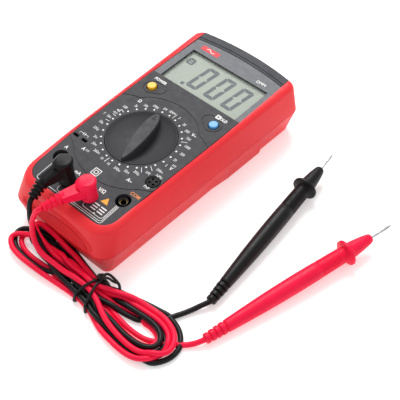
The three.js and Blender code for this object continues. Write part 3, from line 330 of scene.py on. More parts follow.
def smooth_group():
    """A node group that joins split corners and leaves only the sharper edges crisp."""
    group = bpy.data.node_groups.new("smooth_by_angle", "GeometryNodeTree")
    group.interface.new_socket("Geometry", in_out="INPUT", socket_type="NodeSocketGeometry")
    group.interface.new_socket("Geometry", in_out="OUTPUT", socket_type="NodeSocketGeometry")
    nodes, links = group.nodes, group.links
    entry = nodes.new("NodeGroupInput")
    leave = nodes.new("NodeGroupOutput")
    strip = nodes.new("GeometryNodeRemoveAttribute")
    strip.inputs["Name"].default_value = "custom_normal"
    weld = nodes.new("GeometryNodeMergeByDistance")
    weld.inputs["Distance"].default_value = WELD
    faces = nodes.new("GeometryNodeSetShadeSmooth")
    faces.domain = "FACE"
    faces.inputs["Shade Smooth"].default_value = True
    edges = nodes.new("GeometryNodeSetShadeSmooth")
    edges.domain = "EDGE"
    edges.inputs["Shade Smooth"].default_value = False
    angle = nodes.new("GeometryNodeInputMeshEdgeAngle")
    sharp = nodes.new("FunctionNodeCompare")
    sharp.data_type = "FLOAT"
    sharp.operation = "GREATER_THAN"
    sharp.inputs["B"].default_value = math.radians(SMOOTH_BELOW)
    links.new(angle.outputs["Unsigned Angle"], sharp.inputs["A"])
    links.new(sharp.outputs["Result"], edges.inputs["Selection"])
    chain = [entry.outputs[0], strip, weld, faces, edges, leave.inputs[0]]
    for before, after in zip(chain, chain[1:]):
        source = before if isinstance(before, bpy.types.NodeSocket) else before.outputs[0]
        target = after if isinstance(after, bpy.types.NodeSocket) else after.inputs["Geometry"]
        links.new(source, target)
    return group


def dress_frame(materials):
    """Gives every CAD node its material and smooth shading."""
    group = smooth_group()
    slots = {part["node"]: part["material_slot"] for part in frame["record"]["subparts"]}
    for name, node in frame["nodes"].items():
        node.data.materials.clear()
        node.data.materials.append(materials[slots[name]])
        modifier = node.modifiers.new("smooth", "NODES")
        modifier.node_group = group


# ------------------------------------------------------------------ mesh helpers
def new_piece(name, vertices, faces, material, body, slot, smooth=True):
    """A mesh piece from points in millimetres, riding on a body (None leaves it free)."""
    mesh = bpy.data.meshes.new(name)
    mesh.from_pydata([Vector(v) * MM for v in vertices], [], faces)
    mesh.update()
    piece = bpy.data.objects.new(name, mesh)
    bpy.context.scene.collection.objects.link(piece)
    mesh.materials.append(material)
    if smooth:
        mesh.shade_smooth()
    if body:
        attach(piece, body)
    return piece


def sharpen(piece, degrees):
    """Keeps the edges of a smooth piece crisp where it turns by more than an angle."""
    piece.data.set_sharp_from_angle(angle=math.radians(degrees))


def across(direction):
    """A unit direction at right angles to another."""
    side = np.cross(direction, (0.0, 0.0, 1.0))
    if np.linalg.norm(side) < 0.1:
        side = np.cross(direction, (1.0, 0.0, 0.0))
    return side / np.linalg.norm(side)


def frames_along(line):
    """A pair of cross directions at each point of a line, turned as little as possible."""
    tangents = np.gradient(line, axis=0)
    tangents /= np.linalg.norm(tangents, axis=1, keepdims=True)
    side = across(tangents[0])
    sides = []
    for tangent in tangents:
        side = side - tangent * np.dot(side, tangent)
        side = side / np.linalg.norm(side)
        sides.append(side)
    sides = np.array(sides)
    return sides, np.cross(tangents, sides)


def skin(centres, firsts, seconds, radii, sides):
    """Vertices and faces of a closed tube through rings, each set out along two cross directions."""
    vertices = []
    for centre, first, second, radius in zip(centres, firsts, seconds, radii):
        for i in range(sides):
            turn = 2 * math.pi * i / sides
            vertices.append(centre + radius * (math.cos(turn) * first + math.sin(turn) * second))
    last = len(vertices) - sides
    faces = []
    for start in range(0, last, sides):
        for i in range(sides):
            j = (i + 1) % sides
            faces.append((start + i, start + j, start + sides + j, start + sides + i))
    faces.append(tuple(range(sides))[::-1])
    faces.append(tuple(range(last, last + sides)))
    return vertices, faces


def tube(line, radius, sides=12):
    """A round tube along a line of points."""
    line = np.asarray(line, float)
    return skin(line, *frames_along(line), [radius] * len(line), sides)


def lathe(profile, start, toward, sides):
    """A turned solid: the profile lists (distance along the axis, radius)."""
    start = np.array(start, float)
    axis = np.array(toward, float) - start
    axis /= np.linalg.norm(axis)
    first = across(axis)
    rings = len(profile)
    centres = [start + axis * at for at, _ in profile]
    radii = [radius for _, radius in profile]
    return skin(centres, [first] * rings, [np.cross(axis, first)] * rings, radii, sides)


def joined(*shapes):
    """One list of vertices and faces out of several."""
    vertices, faces = [], []
    for more_vertices, more_faces in shapes:
        base = len(vertices)
        vertices += list(more_vertices)
        faces += [tuple(base + i for i in face) for face in more_faces]
    return vertices, faces


# ------------------------------------------------------------------ the two leads
SLOT_PITCH = 3.3  # between strands side by side at the waist
FIRST_SLOT = -94.6  # Y of the strand nearest the meter there
LAYERS = (1.8, 5.1, 8.4)
CORD_STEP = 2.2  # between the points of a lead while it settles
RING_STEP = 1.4  # between the rings of its mesh
WIDEST_AT = 0.72  # the part of its run by which a loop is at its widest
RUN_FRACTIONS = (0.16, 0.34, 0.54, 0.74, 0.9)
LEVEL_BY = 0.45  # the part of its run by which a strand has come to its loop's height
LIFT_FROM = 0.35  # the part of its run from which a lifted loop starts to rise

# How the strands settle, one round at a time.
ROUNDS = 80
HELD_AT_PLUG = 8  # points that stay put
HELD_AT_PROBE = 4
SAME_STRETCH = 4  # points of one lead this near in order are never pushed apart
PUSH = 0.28  # of an overlap
MOST_PUSH = 0.8
PULL_HOME = 0.03
SMOOTHING = 0.3
MOST_BOW = 2.4  # over six steps, which keeps a bend from being too tight
SAG = 0.02
FLOOR_GAP = 0.05
CASE_GAP = 0.2

# Each lead runs from its plug through the start points, out and back round the turns of the bundle, and
# through the end points to its probe. The waist lists the slot and layer it takes each time past the tie.
# A turn lists how far it reaches in X, its apex Y, its highest and lowest Y, its height over the surface,
# which run is taken first (+1 the one nearer the meter) and how much the apex lifts.
RED_LEAD = {
    "start": [(-0.8, -95.1, 41.7), (-1.4, -96.4, 41.2), (-3.0, -97.6, 39.6), (-4.9, -98.9, 35.6),
              (-6.6, -101.4, 27.0), (-5.4, -103.8, 17.6), (0.2, -105.6, 11.6), (8.0, -105.0, 9.6),
              (18.6, -104.9, 9.3), (30.0, -103.4, 9.3)],
    "waist": [(2.3, 2), (1.3, 2), (4, 0), (1, 1), (2, 0), (2, 1), (3, 0)],
    "turns": [(106.4, -101.3, -87.6, -114.2, 5.2, -1, 0.0), (-28.6, -105.2, -97.0, -113.0, 5.0, 1, 0.0),
              (104.0, -103.0, -90.0, -118.6, 3.6, -1, 0.0), (-19.8, -91.9, -88.8, -97.5, 3.0, 1, 12.0),
              (97.6, -102.8, -94.4, -109.2, 1.8, -1, 0.0), (-26.0, -98.5, -93.6, -107.6, 1.8, 1, 0.0)],
    "end": [(58.5, -102.4, 1.8), (69.7, -104.3, 1.8), (80.6, -104.8, 1.8), (90.6, -103.5, 1.8),
            (98.5, -99.8, 1.8), (105.6, -93.4, 1.8), (109.9, -88.6, 2.1), (113.1, -84.2, 3.3),
            (114.2, -81.9, 3.9)],
}
BLACK_LEAD = {
    "start": [(-12.3, -93.1, 40.3), (-12.3, -94.5, 39.4), (-12.0, -96.4, 36.4), (-11.2, -98.5, 28.6),
              (-10.2, -99.2, 18.6), (-7.6, -98.8, 12.4), (-1.4, -101.4, 9.2), (9.4, -105.2, 7.4),
              (22.0, -107.2, 6.0)],
    "waist": [(4, 1), (0, 0), (3, 1), (0.6, 1), (3.2, 0), (1.1, 0), (2.4, 1)],
    "turns": [(108.4, -101.5, -83.4, -115.4, 1.8, -1, 0.0), (-23.5, -93.5, -87.6, -99.6, 2.4, 1, 3.0),
              (101.9, -102.5, -91.0, -112.2, 1.9, -1, 0.0), (-30.6, -97.4, -90.8, -110.4, 1.8, -1, 0.0),
              (99.8, -102.6, -93.2, -110.6, 5.0, -1, 0.0), (-17.0, -95.5, -91.0, -101.4, 1.8, 1, 0.0)],
    "end": [(58.0, -100.4, 3.0), (70.0, -97.4, 1.8), (80.3, -92.5, 1.8), (86.4, -85.6, 1.8),
            (90.3, -79.8, 1.8), (93.8, -71.8, 2.2), (97.6, -63.8, 3.4), (99.0, -60.6, 3.9)],
}


def waist_point(place):
    """Y and height of a place in the waist, given as a slot and a layer."""
    slot, layer = place
    return FIRST_SLOT - SLOT_PITCH * slot, LAYERS[layer]


def one_turn(turn, entry, leave):
    """Points round one loop of the bundle, out from its waist and back."""
    reach, apex, high, low, height, first, lift = turn

    def run(waist, bulge):
        points = []
        for part in RUN_FRACTIONS:
            if part < WIDEST_AT:
                y = waist[0] + (bulge - waist[0]) * math.sin(0.5 * math.pi * part / WIDEST_AT)
            else:
                y = apex + (bulge - apex) * math.sqrt(1 - ((part - WIDEST_AT) / (1 - WIDEST_AT)) ** 2)
            level = min(1.0, part / LEVEL_BY)
            rise = max(0.0, (part - LIFT_FROM) / (1 - LIFT_FROM)) ** 1.5
            z = waist[1] + (height - waist[1]) * level + lift * rise
            points.append((WAIST_X + (reach - WAIST_X) * part, y, z))
        return points

    near, far = (high, low) if first > 0 else (low, high)
    return run(entry, near) + [(reach, apex, height + lift)] + run(leave, far)[::-1]


def lead_route(lead):
    """The points of a lead from its plug, through its loops, to its probe."""
    points = list(lead["start"])
    waists = [waist_point(place) for place in lead["waist"]]
    for turn, entry, leave in zip(lead["turns"], waists, waists[1:]):
        points.append((WAIST_X, *entry))
        points += one_turn(turn, entry, leave)
    points.append((WAIST_X, *waists[-1]))
    return np.array(points + list(lead["end"]), float)


def evenly(line, step):
    """The same line with its points a fixed step apart."""
    gaps = np.linalg.norm(np.diff(line, axis=0), axis=1)
    along = np.concatenate([[0], np.cumsum(gaps)])
    at = np.linspace(0, along[-1], int(round(along[-1] / step)) + 1)
    return np.stack([np.interp(at, along, line[:, k]) for k in range(3)], axis=1)


def smooth_line(points, step, fine=12):
    """A centripetal Catmull-Rom line through the points."""
    points = np.asarray(points, float)
    padded = np.vstack([2 * points[0] - points[1], points, 2 * points[-1] - points[-2]])
    line = []
    for four in zip(padded, padded[1:], padded[2:], padded[3:]):
        knots = [0.0]
        for before, after in zip(four, four[1:]):
            knots.append(knots[-1] + max(1e-6, np.linalg.norm(after - before)) ** 0.5)

        def mix(first, second, i, j, at):
            return (first * (knots[j] - at) + second * (at - knots[i])) / (knots[j] - knots[i])

        for at in np.linspace(knots[1], knots[2], fine, endpoint=False):
            a = mix(four[0], four[1], 0, 1, at)
            b = mix(four[1], four[2], 1, 2, at)
            c = mix(four[2], four[3], 2, 3, at)
            line.append(mix(mix(a, b, 0, 2, at), mix(b, c, 1, 3, at), 1, 2, at))
    line.append(points[-1])
    return evenly(np.array(line), step)


def case_wall(z):
    """Y of the outside of the jack end at a height."""
    below = CASE_WALL_FLOOR + (CASE_WALL_SEAM - CASE_WALL_FLOOR) * z / SEAM_Z
    above = CASE_WALL_SEAM + (CASE_WALL_RIM - CASE_WALL_SEAM) * (z - SEAM_Z) / (RIM_Z - SEAM_Z)
    return np.where(z < SEAM_Z, below, above)


def pushed_apart(points, same_stretch):
    """The move that eases each point out of the strands it overlaps."""
    apart = points[:, None, :] - points[None, :, :]
    distance = np.sqrt((apart ** 2).sum(-1)) + 1e-9
    overlap = np.clip(CORD * 1.01 - distance, 0, None)
    overlap[same_stretch] = 0
    move = (apart / distance[..., None] * overlap[..., None]).sum(1) * PUSH
    size = np.linalg.norm(move, axis=1, keepdims=True)
    return move * np.minimum(1, MOST_PUSH / (size + 1e-9))


def smooth_in_place(line):
    """Draws each point of a line toward its neighbours, and more strongly where it bends tightly."""
    line[1:-1] += SMOOTHING * (0.5 * (line[:-2] + line[2:]) - line[1:-1])
    inward = 0.5 * (line[:-6] + line[6:]) - line[3:-3]
    bow = np.linalg.norm(inward, axis=1, keepdims=True)
    line[3:-3] += inward * np.clip(1 - MOST_BOW / (bow + 1e-9), 0, 0.5)


def keep_outside(points):
    """Lets the points sag, but keeps them off the surface and off the jack end."""
    points[:, 2] = np.maximum(points[:, 2] - SAG, CORD_RADIUS + FLOOR_GAP)
    beside_case = abs(points[:, 0]) < CASE_HALF_WIDTH
    limit = case_wall(points[:, 2]) - CORD_RADIUS - CASE_GAP
    points[:, 1] = np.where(beside_case, np.minimum(points[:, 1], limit), points[:, 1])


def settle(lines):
    """Eases the strands out of each other, off the surface and off the case, and keeps them smooth."""
    counts = [len(line) for line in lines]
    owner = np.repeat(np.arange(len(lines)), counts)
    index = np.concatenate([np.arange(n) for n in counts])
    near = abs(index[:, None] - index[None, :]) <= SAME_STRETCH
    same_stretch = (owner[:, None] == owner[None, :]) & near
    ends = np.cumsum(counts)
    spans = list(zip(ends - counts, ends))
    points = np.vstack(lines)
    home = points.copy()
    held = np.zeros(len(points), bool)
    for start, end in spans:
        held[start:start + HELD_AT_PLUG] = True
        held[end - HELD_AT_PROBE:end] = True
    for _ in range(ROUNDS):
        moved = points + pushed_apart(points, same_stretch) + PULL_HOME * (home - points)
        for start, end in spans:
            smooth_in_place(moved[start:end])
        keep_outside(moved)
        points = np.where(held[:, None], points, moved)
    return [points[start:end] for start, end in spans]


def make_leads(materials):
    """Both leads, each one continuous line from its plug to the inside of its probe."""
    routes = [smooth_line(lead_route(lead), CORD_STEP) for lead in (BLACK_LEAD, RED_LEAD)]
    leads = {}
    for colour, line in zip(("black", "red"), settle(routes)):
        tail, tip = (np.array(point) for point in PROBES[colour])
        along = (tip - tail) / np.linalg.norm(tip - tail)
        inside = [tail + along * reach for reach in np.arange(4.0, INSIDE_PROBE, 6.0)]
        fine = smooth_line(np.vstack([line, inside]), RING_STEP, 4)
        slot = f"lead_{colour}"
        piece = new_piece(f"{colour}_lead", *tube(fine, CORD_RADIUS), materials[slot], None, slot)
        leads[colour] = (piece, fine)
    return leads


def line_length(line):
    """In millimetres."""
    return float(np.linalg.norm(np.diff(line, axis=0), axis=1).sum())


def declare_leads(leads, probes, tie):
    """Bakes each lead in place, hides the CAD pieces it replaces and prints its length."""
    for colour in ("black", "red"):
        lead, line = leads[colour]
        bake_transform(lead)
        replaced = [f"{colour}_lead_in", f"{colour}_lead_out"]
        pieces = [frame["nodes"][f"{colour}_{part}"] for part in ("plug", "plug_pin", "probe_pin")]
        pieces.append(probes[colour])
        if colour == "black":
            replaced.append("lead_hank")
            pieces.append(tie)
        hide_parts(*replaced)
        print(colour, "lead:", round(line_length(line)), "mm")


# ------------------------------------------------------------------ tie round the bundle
TIE_RADIUS = 0.85
KNOT_RADIUS = 1.15
TIE_X = 43.0
TIE_SLANTS = (0.34, -0.26)  # how far each wrap runs along the bundle for each millimetre across it
TIE_TOP = 14.0  # strands above this are on their way to a plug, and outside the tie
TIE_KNOT = (43.6, -94.0, 12.8)
TIE_TAILS = (
    [(43.6, -94.0, 12.8), (45.6, -91.2, 13.8), (49.4, -89.6, 12.6), (53.4, -90.2, 10.0), (56.6, -92.4, 7.2)],
    [(43.6, -94.0, 12.8), (47.0, -94.0, 14.8), (50.6, -92.8, 14.4), (53.2, -90.6, 11.8)],
)


def hull_round(points):
    """The convex outline of flat points, counter-clockwise."""
    ordered = sorted(map(tuple, points))

    def chain(sequence):
        kept = []
        for point in sequence:
            while len(kept) > 1:
                (ax, ay), (bx, by) = kept[-2], kept[-1]
                if (bx - ax) * (point[1] - ay) - (by - ay) * (point[0] - ax) > 0:
                    break
                kept.pop()
            kept.append(point)
        return kept[:-1]

    return np.array(chain(ordered) + chain(ordered[::-1]))


def wrap_line(leads, slant):
    """A line tight round every strand that crosses an upright plane through the knot."""
    outline = []
    reach = CORD_RADIUS + TIE_RADIUS * 0.9
    for _, line in leads.values():
        off_plane = line[:, 0] - TIE_X - slant * (line[:, 1] - TIE_KNOT[1])
        crossing = line[(abs(off_plane) < 1.6) & (line[:, 2] < TIE_TOP)]
        for y, z in crossing[:, 1:]:
            for turn in np.linspace(0, 2 * math.pi, 12, endpoint=False):
                outline.append((y + reach * math.cos(turn), max(TIE_RADIUS, z + reach * math.sin(turn))))
    return [(TIE_X + slant * (y - TIE_KNOT[1]), y, z) for y, z in hull_round(outline)]


def twisted_tail(tail, start_turn):
    """One tail of the tie, wound loosely about its own line."""
    line = smooth_line(tail, 0.5)
    turns = np.linspace(0, 9, len(line)) + start_turn
    wobble = np.stack([np.cos(turns), np.sin(turns), np.cos(turns)], axis=1) * 0.35
    return tube(line + wobble, TIE_RADIUS, 10)


def knot_line():
    """A small loop that bobs up and down twice on its way round."""
    turns = np.linspace(0, 2 * math.pi, 20)
    return np.stack([1.5 * np.cos(turns), 1.2 * np.sin(turns), 0.7 * np.sin(2 * turns)], axis=1) + TIE_KNOT


def make_tie(leads, material):
    """A covered wire twisted tight round the waist of the bundle, with two short tails."""
    shapes = []
    for slant in TIE_SLANTS:
        ring = wrap_line(leads, slant)
        shapes.append(tube(smooth_line(ring + [ring[0]], 0.9), TIE_RADIUS, 10))
    for side, tail in enumerate(TIE_TAILS):
        shapes.append(twisted_tail(tail, side * math.pi))
    shapes.append(tube(knot_line(), KNOT_RADIUS, 10))
    tie = new_piece("twist_tie", *joined(*shapes), material, "meter", "tie_black")
    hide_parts("lead_tie")
    return tie


# ------------------------------------------------------------------ probes
INSIDE_PROBE = 62.0  # how far a lead runs on inside its handle
RELIEF_RINGS = 4
RELIEF_PITCH = 3.5
PROBE_RIBS = 14
RIB_PITCH = 1.35
RIBS_FROM = 81.0

# (distance from the cord end, radius) along the smooth handle, and from the guard to the cone's end
HANDLE_SHAPE = [(14.4, 3.6), (14.8, 3.85), (16.0, 3.95), (28.0, 4.5), (40.0, 5.0), (52.0, 5.3), (64.0, 5.45),
                (76.0, 5.4), (80.5, 5.32)]
GUARD_SHAPE = [(100.2, 4.95), (100.5, 5.3), (100.6, 7.6), (100.8, 8.0), (101.1, 8.15), (102.1, 8.15),
               (102.5, 8.0), (102.7, 7.5), (103.0, 6.0), (103.6, 5.35)]
CONE_SHAPE = [(105.5, 5.05), (108.0, 4.75), (112.0, 4.3), (116.0, 3.72), (118.6, 3.2), (119.8, 2.8),
              (120.4, 2.3), (120.6, 1.7), (120.6, 1.2)]


def probe_profile():
    """(distance, radius) along a probe from its cord end to its point."""
    profile = [(0.0, 2.1), (0.2, 2.5)]
    for ring in range(RELIEF_RINGS):
        at = 0.3 + ring * RELIEF_PITCH
        radius = 3.25 + 0.2 * ring
        profile += [(at, radius - 0.3), (at + 0.3, radius), (at + 2.3, radius), (at + 2.6, radius - 0.3),
                    (at + 2.65, radius - 1.0), (at + 3.45, radius - 1.0)]
    profile += HANDLE_SHAPE
    for rib in range(PROBE_RIBS):
        at = RIBS_FROM + rib * RIB_PITCH
        radius = 5.28 - 0.018 * rib
        profile += [(at, radius - 0.32), (at + 0.35, radius - 0.32), (at + 0.6, radius), (at + 0.95, radius),
                    (at + 1.2, radius - 0.32)]
    return profile + GUARD_SHAPE + CONE_SHAPE


def make_probes(materials):
    """The handle of each probe, ribbed and with a finger guard."""
    probes = {}
    for colour, (tail, tip) in PROBES.items():
        slot = f"lead_{colour}"
        handle = lathe(probe_profile(), tail, tip, 48)
        probe = new_piece(f"{colour}_probe_body", *handle, materials[slot], "meter", slot)
        sharpen(probe, 40)
        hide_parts(f"{colour}_probe")
        probes[colour] = probe
    return probes


# ------------------------------------------------------------------ printing on the panel
INK_LIFT = 0.04
CAP_HEIGHT = 0.729  # of the font's size
LABEL = 2.05
WHITE_LABELS = (
    ("200", -26.9, -1.6), ("2k", -22.2, 3.8), ("20k", -17.6, 8.0), ("200k", -12.1, 11.4),
    ("2M", -6.1, 13.7), ("200M", -0.3, 14.4), ("2", 6.4, 13.7), ("20", 12.7, 11.5),
    ("200", 18.1, 8.4), ("750", 23.1, 4.2), ("1000", 27.4, -1.5), ("200", 29.3, -7.9),
    ("20", 29.1, -14.2), ("2", 28.1, -20.9), ("200m", 28.2, -26.7), ("hFE", 24.0, -32.6),
    ("200\u00b5", 18.7, -36.9), ("20m", 13.4, -40.1), ("200m", 7.3, -42.4), ("10", 0.1, -42.8),
    ("10", -6.4, -42.2), ("200m", -12.6, -40.4), ("20m", -18.4, -36.9), ("2m", -22.2, -32.2),
    ("200\u00b5", -27.3, -26.8), ("20\u00b5", -28.9, -20.8), ("20n", -28.8, -14.2), ("NPN", 31.2, -30.4),
    ("PNP", 31.1, -41.2), ("F", -33.0, -14.1),
)
BIG_LABELS = (
    ("\u03a9", -23.7, 8.5, 2.5), ("V~", 23.8, 8.5, 2.5), ("V", 32.1, -21.0, 2.5), ("A~", 19.6, -44.0, 2.6),
    ("A", -20.7, -43.9, 2.6), ("POWER", -26.6, 30.8, 2.3), ("OLD", 28.9, 30.3, 2.3), ("A", -30.0, -49.8, 2.6),
    ("mA", -9.3, -59.6, 2.6), ("V/\u03a9", 12.4, -60.0, 2.6),
)
POSITIONS = 28
TOP_POSITION = 5
DOT_RING = 25.35
DIVIDERS = (5.5, 9.5, 14.5, 15.5, 19.5)  # halfway between two dial positions
DIVIDER_REACH = (25.2, 29.2)
SHORT_DIVIDERS = (25.5, 26.5, 27.5)
SHORT_DIVIDER_REACH = (25.8, 29.0)
DIVIDER_WIDTH = 0.34
COM_LINES = (  # x at the common jack, depth, x at the other jack, its end
    (27.3, -75.3, 10.5, -72.6), (28.2, -76.9, -10.5, -73.0), (29.1, -78.1, -27.3, -64.0),
)
JACK_SHELF = -62.6  # Y where the lines between the jacks start
COM_DOT = (20.6, -74.9)
RATING_ROWS = (-69.0, -70.9, -72.8)  # Y of each row of plain bars beside the common jack
RATING_BARS = ((15.4, 19.6), (20.8, 25.4))
DIRECT_SIGNS = ((32.1, -18.3), (-17.7, -43.9))
DIODE_SIGN = (-28.2, -9.3)
BUZZER_SIGN = (-27.6, -6.5)
CAPACITOR_SIGN = (-29.3, -35.2)
INSULATION_SIGN = (-0.9, -52.3)
HOLD_BOX = (24.5, 30.3)
HOLD_STRIPS = (  # left, bottom, right and top of each strip, from the middle of the box
    (-1.65, -1.65, -0.85, 1.65), (0.85, -1.65, 1.65, 1.65), (-0.85, 0.95, 0.85, 1.65),
    (-0.85, -1.65, 0.85, -0.95), (-0.3, 0.25, 0.3, 0.95), (-0.3, -0.95, 0.3, -0.25),
)


def text_shape(text, x, y, height, squeeze=0.82, weight=0.0):
    """Flat lettering whose capitals are centred on a point."""
    curve = bpy.data.curves.new("lettering", "FONT")
    curve.body = text
    curve.size = height / CAP_HEIGHT
    curve.align_x = "CENTER"
    curve.offset = weight
    curve.resolution_u = 3
    holder = bpy.data.objects.new("lettering", curve)
    mesh = bpy.data.meshes.new_from_object(holder)
    vertices = [(x + v.co.x * squeeze, y - height / 2 + v.co.y) for v in mesh.vertices]
    faces = [tuple(face.vertices) for face in mesh.polygons]
    bpy.data.objects.remove(holder)
    bpy.data.curves.remove(curve)
    bpy.data.meshes.remove(mesh)
    return vertices, faces


def flat(outline):
    """One face inside an outline."""
    return outline, [tuple(range(len(outline)))]


def dot_shape(x, y, radius, sides=20):
    turns = [2 * math.pi * i / sides for i in range(sides)]
    return flat([(x + radius * math.cos(a), y + radius * math.sin(a)) for a in turns])


def rectangle(left, bottom, right, top):
    return flat([(left, bottom), (right, bottom), (right, top), (left, top)])


def stroke_shape(points, width):
    """A line of even width through flat points, cut short enough to follow the curved panel."""
    fine = []
    for (ax, ay), (bx, by) in zip(points, points[1:]):
        pieces = max(1, math.ceil(math.hypot(bx - ax, by - ay) / 3.0))
        fine += [(ax + (bx - ax) * i / pieces, ay + (by - ay) * i / pieces) for i in range(pieces)]
    fine = np.array(fine + [points[-1]], float)
    along = np.gradient(fine, axis=0)
    along /= np.linalg.norm(along, axis=1, keepdims=True)
    side = np.stack([-along[:, 1], along[:, 0]], axis=1) * width / 2
    count = len(fine)
    vertices = [tuple(p) for p in fine + side] + [tuple(p) for p in fine - side]
    return vertices, [(count + i, count + i + 1, i + 1, i) for i in range(count - 1)]


def bar(left, right, y, width):
    """A stroke straight across."""
    return stroke_shape([(left, y), (right, y)], width)


def post(x, y, reach, width):
    """A stroke up and down through a point, as far each way."""
    return stroke_shape([(x, y - reach), (x, y + reach)], width)


def ring_shape(x, y, width, height, line):
    """A square outline as four strokes."""
    w, h = width / 2, height / 2
    corners = [(x - w, y - h), (x + w, y - h), (x + w, y + h), (x - w, y + h)]
    return joined(*(stroke_shape([a, b], line) for a, b in zip(corners, corners[1:] + corners[:1])))


def rounded(points, radius):
    """The same bent line with each inner corner rounded."""
    line = [points[0]]
    for before, corner, after in zip(points, points[1:], points[2:]):
        for part, other in ((1, before), (0, after)):
            reach = math.hypot(other[0] - corner[0], other[1] - corner[1])
            line.append(tuple(c + (o - c) * radius / reach for c, o in zip(corner, other)))
        a, b = line[-2], line[-1]
        middle = tuple(0.3 * c + 0.35 * (p + q) for c, p, q in zip(corner, a, b))
        line.insert(-1, middle)
    return line + [points[-1]]


def dial_point(position, radius):
    """A place round the dial, counted in dial positions clockwise."""
    angle = math.pi / 2 - (position - TOP_POSITION) * 2 * math.pi / POSITIONS
    return DIAL[0] + radius * math.cos(angle), DIAL[1] + radius * math.sin(angle)


def wave(x, y, width, height, line):
    """One full turn of a sine curve, centred on a point."""
    turns = np.linspace(0, 2 * math.pi, 13)
    points = [(x + width * (t / (2 * math.pi) - 0.5), y + height / 2 * math.sin(t)) for t in turns]
    return stroke_shape(points, line)


def direct_sign(x, y):
    """A solid line over three dashes."""
    dashes = [bar(x + at - 0.3, x + at + 0.3, y - 0.4, 0.34) for at in (-1.0, 0.0, 1.0)]
    return [bar(x - 1.3, x + 1.3, y + 0.45, 0.34)] + dashes


def diode_sign(x, y):
    """A triangle against a bar, on a line."""
    body = flat([(x - 0.9, y - 0.8), (x + 0.6, y), (x - 0.9, y + 0.8)])
    return [body, post(x + 0.75, y, 0.8, 0.35), bar(x - 1.9, x + 1.8, y, 0.3)]


def buzzer_sign(x, y):
    """A dot with two arcs beside it."""
    centre = x - 1.2
    turns = np.linspace(-0.8, 0.8, 7)
    shapes = [dot_shape(centre, y, 0.55)]
    for radius in (1.1, 1.9):
        arc = [(centre + radius * math.cos(a), y + radius * math.sin(a)) for a in turns]
        shapes.append(stroke_shape(arc, 0.32))
    return shapes


def capacitor_sign(x, y):
    """Two plates, each with a lead that turns down."""
    shapes = []
    for side in (-1, 1):
        near, far = x + side * 0.6, x + side * 3.6
        shapes += [post(near, y, 1.0, 0.4), stroke_shape([(near, y), (far, y), (far, y - 1.2)], 0.3)]
    return shapes


def dividers(positions, reach):
    """Short lines out from the dial, between its positions."""
    inner, outer = reach
    return [stroke_shape([dial_point(position, inner), dial_point(position, outer)], DIVIDER_WIDTH)
            for position in positions]


def jack_marks():
    """Lines that join the jacks they share, and plain bars in place of the ratings."""
    shapes = []
    for x, depth, far_x, far_y in COM_LINES:
        corners = [(x, JACK_SHELF), (x, depth), (far_x, depth), (far_x, far_y)]
        shapes.append(stroke_shape(rounded(corners, 1.4), 0.36))
    shapes.append(dot_shape(*COM_DOT, 0.6))
    for y in RATING_ROWS:
        shapes += [bar(left, right, y, 0.8) for left, right in RATING_BARS]
    return shapes


def hold_box():
    """A white square with the first letter left out of it."""
    x, y = HOLD_BOX
    return [rectangle(x + left, y + bottom, x + right, y + top) for left, bottom, right, top in HOLD_STRIPS]


def panel_marks():
    """Every white mark on the panel."""
    shapes = [text_shape(text, x, y, LABEL) for text, x, y in WHITE_LABELS]
    shapes += [text_shape(text, x, y, height, 0.9, 0.09) for text, x, y, height in BIG_LABELS]
    shapes += [dot_shape(*dial_point(position, DOT_RING), 0.62) for position in range(1, POSITIONS + 1)]
    shapes += dividers(DIVIDERS, DIVIDER_REACH) + dividers(SHORT_DIVIDERS, SHORT_DIVIDER_REACH)
    for place in DIRECT_SIGNS:
        shapes += direct_sign(*place)
    shapes += diode_sign(*DIODE_SIGN) + buzzer_sign(*BUZZER_SIGN) + capacitor_sign(*CAPACITOR_SIGN)
    shapes += jack_marks()
    shapes += [ring_shape(*INSULATION_SIGN, 5.0, 5.0, 0.55), ring_shape(*INSULATION_SIGN, 2.4, 2.4, 0.5)]
    return joined(*shapes, *hold_box())


def lay_ink(name, shape, material, slot, height=None):
    """Flat marks as a piece just above the panel, or above a given height."""
    vertices, faces = shape
    raised = [(x, y, (panel_top(y) if height is None else height) + INK_LIFT) for x, y in vertices]
    return new_piece(name, raised, faces, material, "meter", slot, smooth=False)


def make_printing():
    """The marks on the panel and those behind the window's edge."""
    white = moulded("ink_white", (238, 238, 236), 0.5, bump=0.03, variation=0.03)
    orange = moulded("ink_orange", (222, 128, 62), 0.5, bump=0.03, variation=0.03)
    amber = moulded("ink_amber", (240, 164, 34), 0.5, bump=0.03, variation=0.03)
    red = moulded("tab_red", (226, 40, 52), 0.45, bump=0.03)
    lay_ink("panel_print", panel_marks(), white, "inner_white")
    lay_ink("common_print", text_shape("COM", 30.6, -50.0, 2.5, 0.95, 0.08), orange, "button_yellow")
    lay_ink("jack_mark", flat([(17.2, -66.2), (22.8, -66.2), (20.0, -61.6)]), amber, "button_yellow")
    lay_ink("window_tab", rectangle(-29.0, 71.7, -14.0, 75.75), red, "case_red", WINDOW_TOP)
    lines = joined(wave(-21.5, 73.7, 7.0, 1.9, 0.5), text_shape("DMM", 24.6, 71.9, 2.4, 1.0, 0.06))
    lay_ink("window_print", lines, white, "inner_white", WINDOW_TOP + 0.02)


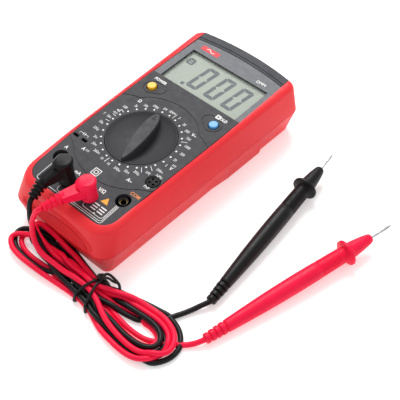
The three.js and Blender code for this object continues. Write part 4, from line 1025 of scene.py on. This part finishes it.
# ------------------------------------------------------------------ digits on the display
DIGIT_WIDTH = 9.5
DIGIT_HEIGHT = 22.9
DIGIT_SLANT = 2.1  # how far the top leans over
DIGIT_LEFTS = (-14.9, 0.2, 15.1)
DIGIT_BOTTOM = 40.8
SEGMENT = 2.75  # how thick a segment is
SEGMENT_GAP = 0.2
CHAMFER = 1.2


def zero_segments():
    """The six lit segments of an upright seven-segment zero."""
    w, h, t = DIGIT_WIDTH, DIGIT_HEIGHT, SEGMENT
    g, c = SEGMENT_GAP, CHAMFER
    top = [(c + g, h), (w - c - g, h), (w - g - 0.4, h - c + 0.4), (w - t - g, h - t), (t + g, h - t),
           (g + 0.4, h - c + 0.4)]
    upper = [(0, h - c - g), (0, h / 2 + g), (t * 0.5, h / 2 + g), (t, h / 2 + 1.5), (t, h - t - g),
             (0.5, h - c - g + 0.5)]
    bottom, lower = ([(x, h - y) for x, y in segment] for segment in (top, upper))
    right_side = [[(w - x, y) for x, y in segment] for segment in (upper, lower)]
    return [top, bottom, upper, lower] + right_side


def zero_digit(left):
    """A leaning zero whose lower left corner is at an X."""
    shapes = []
    for segment in zero_segments():
        leaning = [(left + x + DIGIT_SLANT * y / DIGIT_HEIGHT, DIGIT_BOTTOM + y) for x, y in segment]
        shapes.append(flat(leaning))
    return joined(*shapes)


def battery_sign(x, y):
    """A square with a bar inside it and two terminals on top."""
    terminals = [bar(left, left + 1.4, y + 3.0, 0.9) for left in (x - 1.7, x + 0.3)]
    return joined(ring_shape(x, y, 4.6, 4.2, 1.5), bar(x - 1.6, x + 1.6, y, 1.1), *terminals)


def make_digits():
    """Everything that the display shows."""
    point = flat([(-18.5, 39.5), (-15.9, 39.5), (-15.65, 42.1), (-18.25, 42.1)])
    shapes = [zero_digit(left) for left in DIGIT_LEFTS] + [point, battery_sign(-26.6, 59.7)]
    material = moulded("lcd_segment", (78, 84, 89), 0.5, bump=0.0, variation=0.03, specular=0.1)
    lay_ink("display_digits", joined(*shapes), material, "zebra_rubber", GLASS_TOP)


# ------------------------------------------------------------------ build
materials = make_materials()
make_studio()
dress_frame(materials)
leads = make_leads(materials)
probes = make_probes(materials)
tie = make_tie(leads, materials["tie_black"])
declare_leads(leads, probes, tie)
make_printing()
make_digits()
